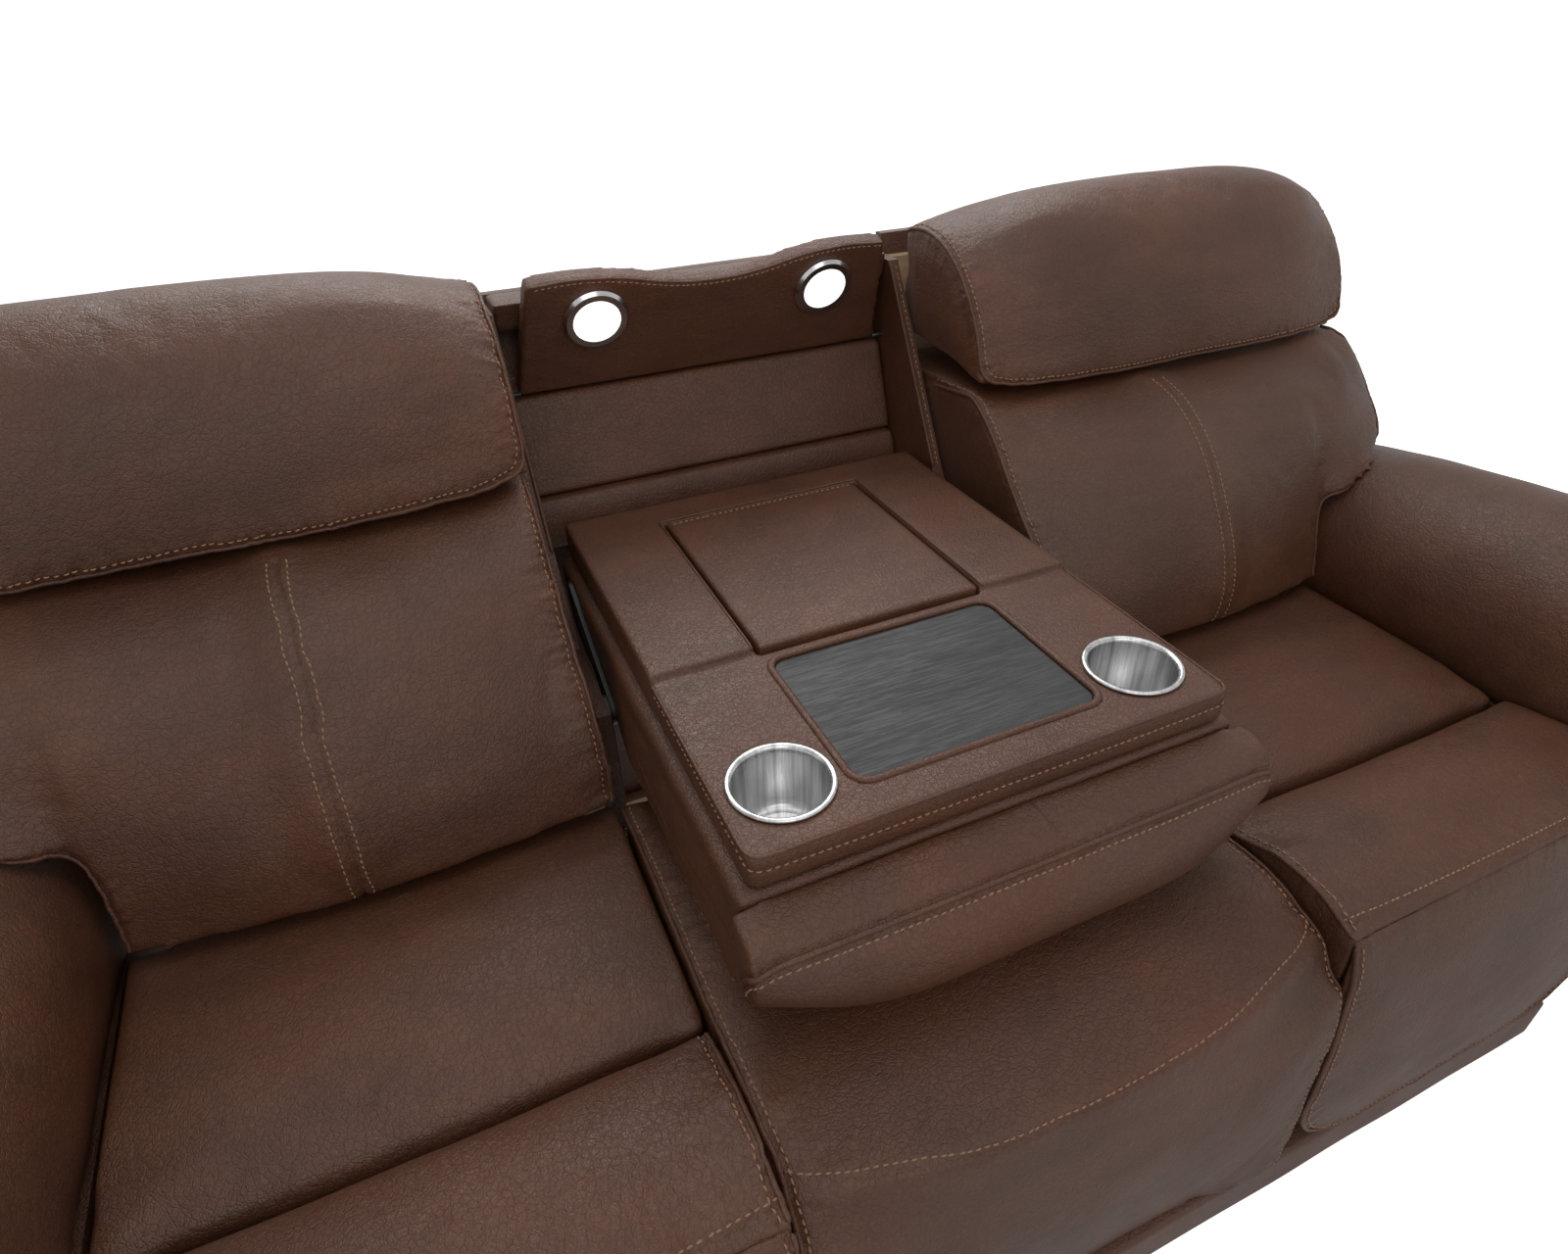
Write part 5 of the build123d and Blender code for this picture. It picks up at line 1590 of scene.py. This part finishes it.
class SOFA_OT_console(bpy.types.Operator):
    """The console with its top, front roll, lid, tray border and cups"""

    bl_idname = "sofa.console"
    bl_label = "Console"

    def execute(self, context):
        for name in ("console_body", "console_roll", "console_top", "lid"):
            dress(name)
        self.border()
        for name, side in SIDES.items():
            parts = [turned(CUP_PROFILE, (side * CUP_X, CUP_Y))]
            put_hard(f"{name}_cup_holder", parts, cup_finish(name), "console",
                     [f"{name}_cup"])
        return {"FINISHED"}

    def border(self):
        """The rolled border round the tray."""
        half_x, low_y, high_y, r = 138.2, -272.2, -64.8, 20.0
        points = []
        for cx, cy, start in ((half_x - r, low_y + r, -90), (half_x - r, high_y - r, 0),
                              (-half_x + r, high_y - r, 90), (-half_x + r, low_y + r, 180)):
            for k in range(9):
                a = math.radians(start + 90 * k / 8)
                points.append((cx + r * math.cos(a), cy + r * math.sin(a), 707.6))
        ring = evenly(np.vstack((mm(*points), mm(points[0]))), 2.5 * MM)[:-1]
        line = Line(ring, np.tile((0.0, 0.0, 1.0), (len(ring), 1)))
        line.t = unit(np.roll(ring, -1, 0) - np.roll(ring, 1, 0))
        line.b = np.cross(line.n, line.t)
        mesh = mesh_from("tray_border", *tube(line, 4.2 * MM, 3.6 * MM, 14, True))
        put("tray_border", outward(mesh), leather_finish("welt"), "console")


class SOFA_OT_recess(bpy.types.Operator):
    """The recess behind the console and the panel with the reading lights"""

    bl_idname = "sofa.recess"
    bl_label = "Recess and lights"

    def execute(self, context):
        for name in ("recess_roll", "recess_back", "top_rail", "light"):
            dress(name)
        pins = []
        for side in (1, -1):
            x = sorted((side * 266.0, side * 292.0))
            pins.append(round_ended((451.03, 852.28), (451.04, 852.28), 3, x[0], x[1]))
        put_hard("light_pins", pins, steel_finish("black"), "light")
        for name, side in SIDES.items():
            edge = ((287, 697), (320, 754), (362, 827), (400, 893), (437, 957))
            path = [mirrored(mm(*((x, y, z) for y, z in edge)), side) for x in (286.5, 294.5)]
            trim(f"{name}_recess_side", f"{name}_recess_side", path[:1], path[1:])
        return {"FINISHED"}


class SOFA_OT_carried(bpy.types.Operator):
    """Finishes of the pieces that keep their own shape"""

    bl_idname = "sofa.carried"
    bl_label = "Carried pieces"

    def execute(self, context):
        slots = {
            "padded_leather": leather_finish("seat"),
            "leather_over_board": leather_finish("smooth"),
            "plywood": plywood_finish(),
            "brushed_steel": steel_finish("brushed"),
            "silver_rim": steel_finish("silver"),
            "lit_lens": lens_finish(),
            "black_tray": tray_finish(),
            "black_plastic": plastic_finish("black"),
            "button_plastic": plastic_finish("button"),
            "black_steel": steel_finish("black"),
        }
        wanted = {part["node"]: part["material_slot"] for part in frame["record"]["subparts"]}
        for node, obj in NODES.items():
            found = slots[wanted[node]]
            obj.data.materials.clear()
            obj.data.materials.append(found)
            obj.data.shade_smooth()
            rounded = obj.modifiers.new("Rounded edges", "BEVEL")
            rounded.width = 1.5 * MM
            rounded.segments = 2
            rounded.limit_method = "ANGLE"
            rounded.angle_limit = math.radians(35)
        return {"FINISHED"}


# ---------------------------------------------------------------- stage, in metres
CAMERA_PLACE = (-0.43425, -0.80583, 1.29232)
CAMERA_TURN = (23.306, 34.205, 1.672)  # to the right, down and sideways, in degrees
FLOOR_REACH, WALL_BEND, WALL_TOP = 9.0, 3.0, 9.0
SKY = ((0.0, 0.40), (0.30, 0.80), (0.62, 0.55), (1.0, 0.40))  # brightness from low to overhead
LOWEST_SKY = -0.4  # place in the sky's shades straight below
LAMPS = {  # place, aim, size and power in watts
    "key": ((-0.6, -2.6, 2.7), (0.1, 0.1, 0.7), (2.6, 1.4), 16.0),
    "rear": ((0.3, 1.9, 2.7), (0.1, -0.1, 0.6), (3.0, 1.2), 44.0),
    "overhead": ((0.3, -0.3, 3.2), (0.2, 0.1, 0.6), (3.2, 1.8), 16.0),
}


def put_floor(stage):
    """A floor that bends up into a wall all round. It shows to the camera and casts and mirrors nothing."""
    profile = [(0.0, 0.0), (FLOOR_REACH, 0.0)]
    for k in range(1, 13):
        a = math.pi / 2 * k / 12
        profile.append((FLOOR_REACH + WALL_BEND * math.sin(a), WALL_BEND - WALL_BEND * math.cos(a)))
    profile.append((FLOOR_REACH + WALL_BEND, WALL_TOP))
    points, faces = turned([(r * 1000, z * 1000) for r, z in profile], (0, 0))
    floor = bpy.data.objects.new("floor", mesh_from("floor", points, faces))
    floor.visible_glossy = floor.visible_diffuse = floor.visible_shadow = False
    bpy.context.scene.collection.objects.link(floor)
    f = Finish("floor")
    shade = f.ramp(f.noise(0.8, 3.0), (0.3, [c * 0.985 for c in stage.floor]), (0.7, stage.floor))
    f.set(Base_Color=shade, Roughness=0.75, Emission_Color=(1.0, 1.0, 1.0), Emission_Strength=1.0)
    floor.data.materials.append(f.material)


def studio_sky(strength):
    """The light from all round, brightest a little above the horizon."""
    world = bpy.data.worlds.new("studio")
    world.use_nodes = True
    nodes, links = world.node_tree.nodes, world.node_tree.links
    way = nodes.new("ShaderNodeSeparateXYZ")
    links.new(nodes.new("ShaderNodeTexCoord").outputs["Generated"], way.inputs[0])
    sky = nodes.new("ShaderNodeValToRGB")
    height = nodes.new("ShaderNodeMapRange")
    height.inputs["From Min"].default_value = -1.0
    height.inputs["To Min"].default_value = LOWEST_SKY
    links.new(way.outputs["Z"], height.inputs["Value"])
    links.new(height.outputs["Result"], sky.inputs[0])
    while len(sky.color_ramp.elements) < len(SKY):
        sky.color_ramp.elements.new(0.5)
    for element, (at, shade) in zip(sky.color_ramp.elements, SKY):
        element.position, element.color = at, (shade, shade, shade, 1.0)
    links.new(sky.outputs[0], nodes["Background"].inputs[0])
    nodes["Background"].inputs[1].default_value = strength
    return world


def put_lamp(name, place, aim, size, power):
    """A soft lamp turned to what it lights."""
    light = bpy.data.lights.new(name, "AREA")
    light.shape = "RECTANGLE"
    light.size, light.size_y = size
    light.energy = power
    obj = bpy.data.objects.new(name, light)
    obj.location = place
    obj.rotation_euler = (Vector(aim) - Vector(place)).to_track_quat("-Z", "Y").to_euler()
    bpy.context.scene.collection.objects.link(obj)


def put_camera(lens):
    """The camera that took the picture."""
    camera = bpy.data.cameras.new("camera")
    camera.lens = lens
    camera.sensor_width = 36.0
    camera.sensor_fit = "HORIZONTAL"
    camera.clip_start = 0.05
    yaw, pitch, roll = (math.radians(angle) for angle in CAMERA_TURN)
    ahead = Vector((math.sin(yaw) * math.cos(pitch), math.cos(yaw) * math.cos(pitch), -math.sin(pitch)))
    right = Vector((math.cos(yaw), -math.sin(yaw), 0))
    below = ahead.cross(right)
    right, below = (
        right * math.cos(roll) + below * math.sin(roll), below * math.cos(roll) - right * math.sin(roll)
    )
    turn = Matrix((right, -below, -ahead)).transposed().to_4x4()
    obj = bpy.data.objects.new("camera", camera)
    obj.matrix_world = Matrix.Translation(CAMERA_PLACE) @ turn
    bpy.context.scene.collection.objects.link(obj)
    return obj


class SOFA_OT_stage(bpy.types.Operator):
    """Floor, backdrop, lights and camera"""

    bl_idname = "sofa.stage"
    bl_label = "Stage"

    def execute(self, context):
        stage = context.scene.sofa_stage
        put_floor(stage)
        context.scene.world = studio_sky(stage.sky)
        context.scene.view_settings.view_transform = "Standard"
        for name, lamp in LAMPS.items():
            put_lamp(name, *lamp)
        context.scene.camera = put_camera(stage.lens)
        return {"FINISHED"}


class SOFA_PT_panel(bpy.types.Panel):
    """Lists the sofa's pieces in the sidebar"""

    bl_idname = "SOFA_PT_panel"
    bl_label = "Sofa"
    bl_space_type = "VIEW_3D"
    bl_region_type = "UI"
    bl_category = "Sofa"

    def draw(self, context):
        for operator in OPERATORS:
            self.layout.operator(operator.bl_idname)


PROPERTIES = {
    "sofa_leather": SofaLeather,
    "sofa_sewing": SofaSewing,
    "sofa_padding": SofaPadding,
    "sofa_stage": SofaStage,
}
OPERATORS = [
    SOFA_OT_carried,
    SOFA_OT_stuff,
    SOFA_OT_headrests,
    SOFA_OT_backs,
    SOFA_OT_seats,
    SOFA_OT_footrests,
    SOFA_OT_arms,
    SOFA_OT_console,
    SOFA_OT_recess,
    SOFA_OT_stage,
]


def register():
    """Adds the settings, the operators and the panel."""
    for name, group in PROPERTIES.items():
        bpy.utils.register_class(group)
        setattr(bpy.types.Scene, name, bpy.props.PointerProperty(type=group))
    for operator in OPERATORS:
        bpy.utils.register_class(operator)
    bpy.utils.register_class(SOFA_PT_panel)


def unregister():
    """Takes away what register added."""
    bpy.utils.unregister_class(SOFA_PT_panel)
    for operator in reversed(OPERATORS):
        bpy.utils.unregister_class(operator)
    for name, group in PROPERTIES.items():
        delattr(bpy.types.Scene, name)
        bpy.utils.unregister_class(group)


def main():
    """Runs every operator in its order."""
    register()
    for operator in OPERATORS:
        family, call = operator.bl_idname.split(".")
        getattr(getattr(bpy.ops, family), call)()


if __name__ == "__main__":
    main()
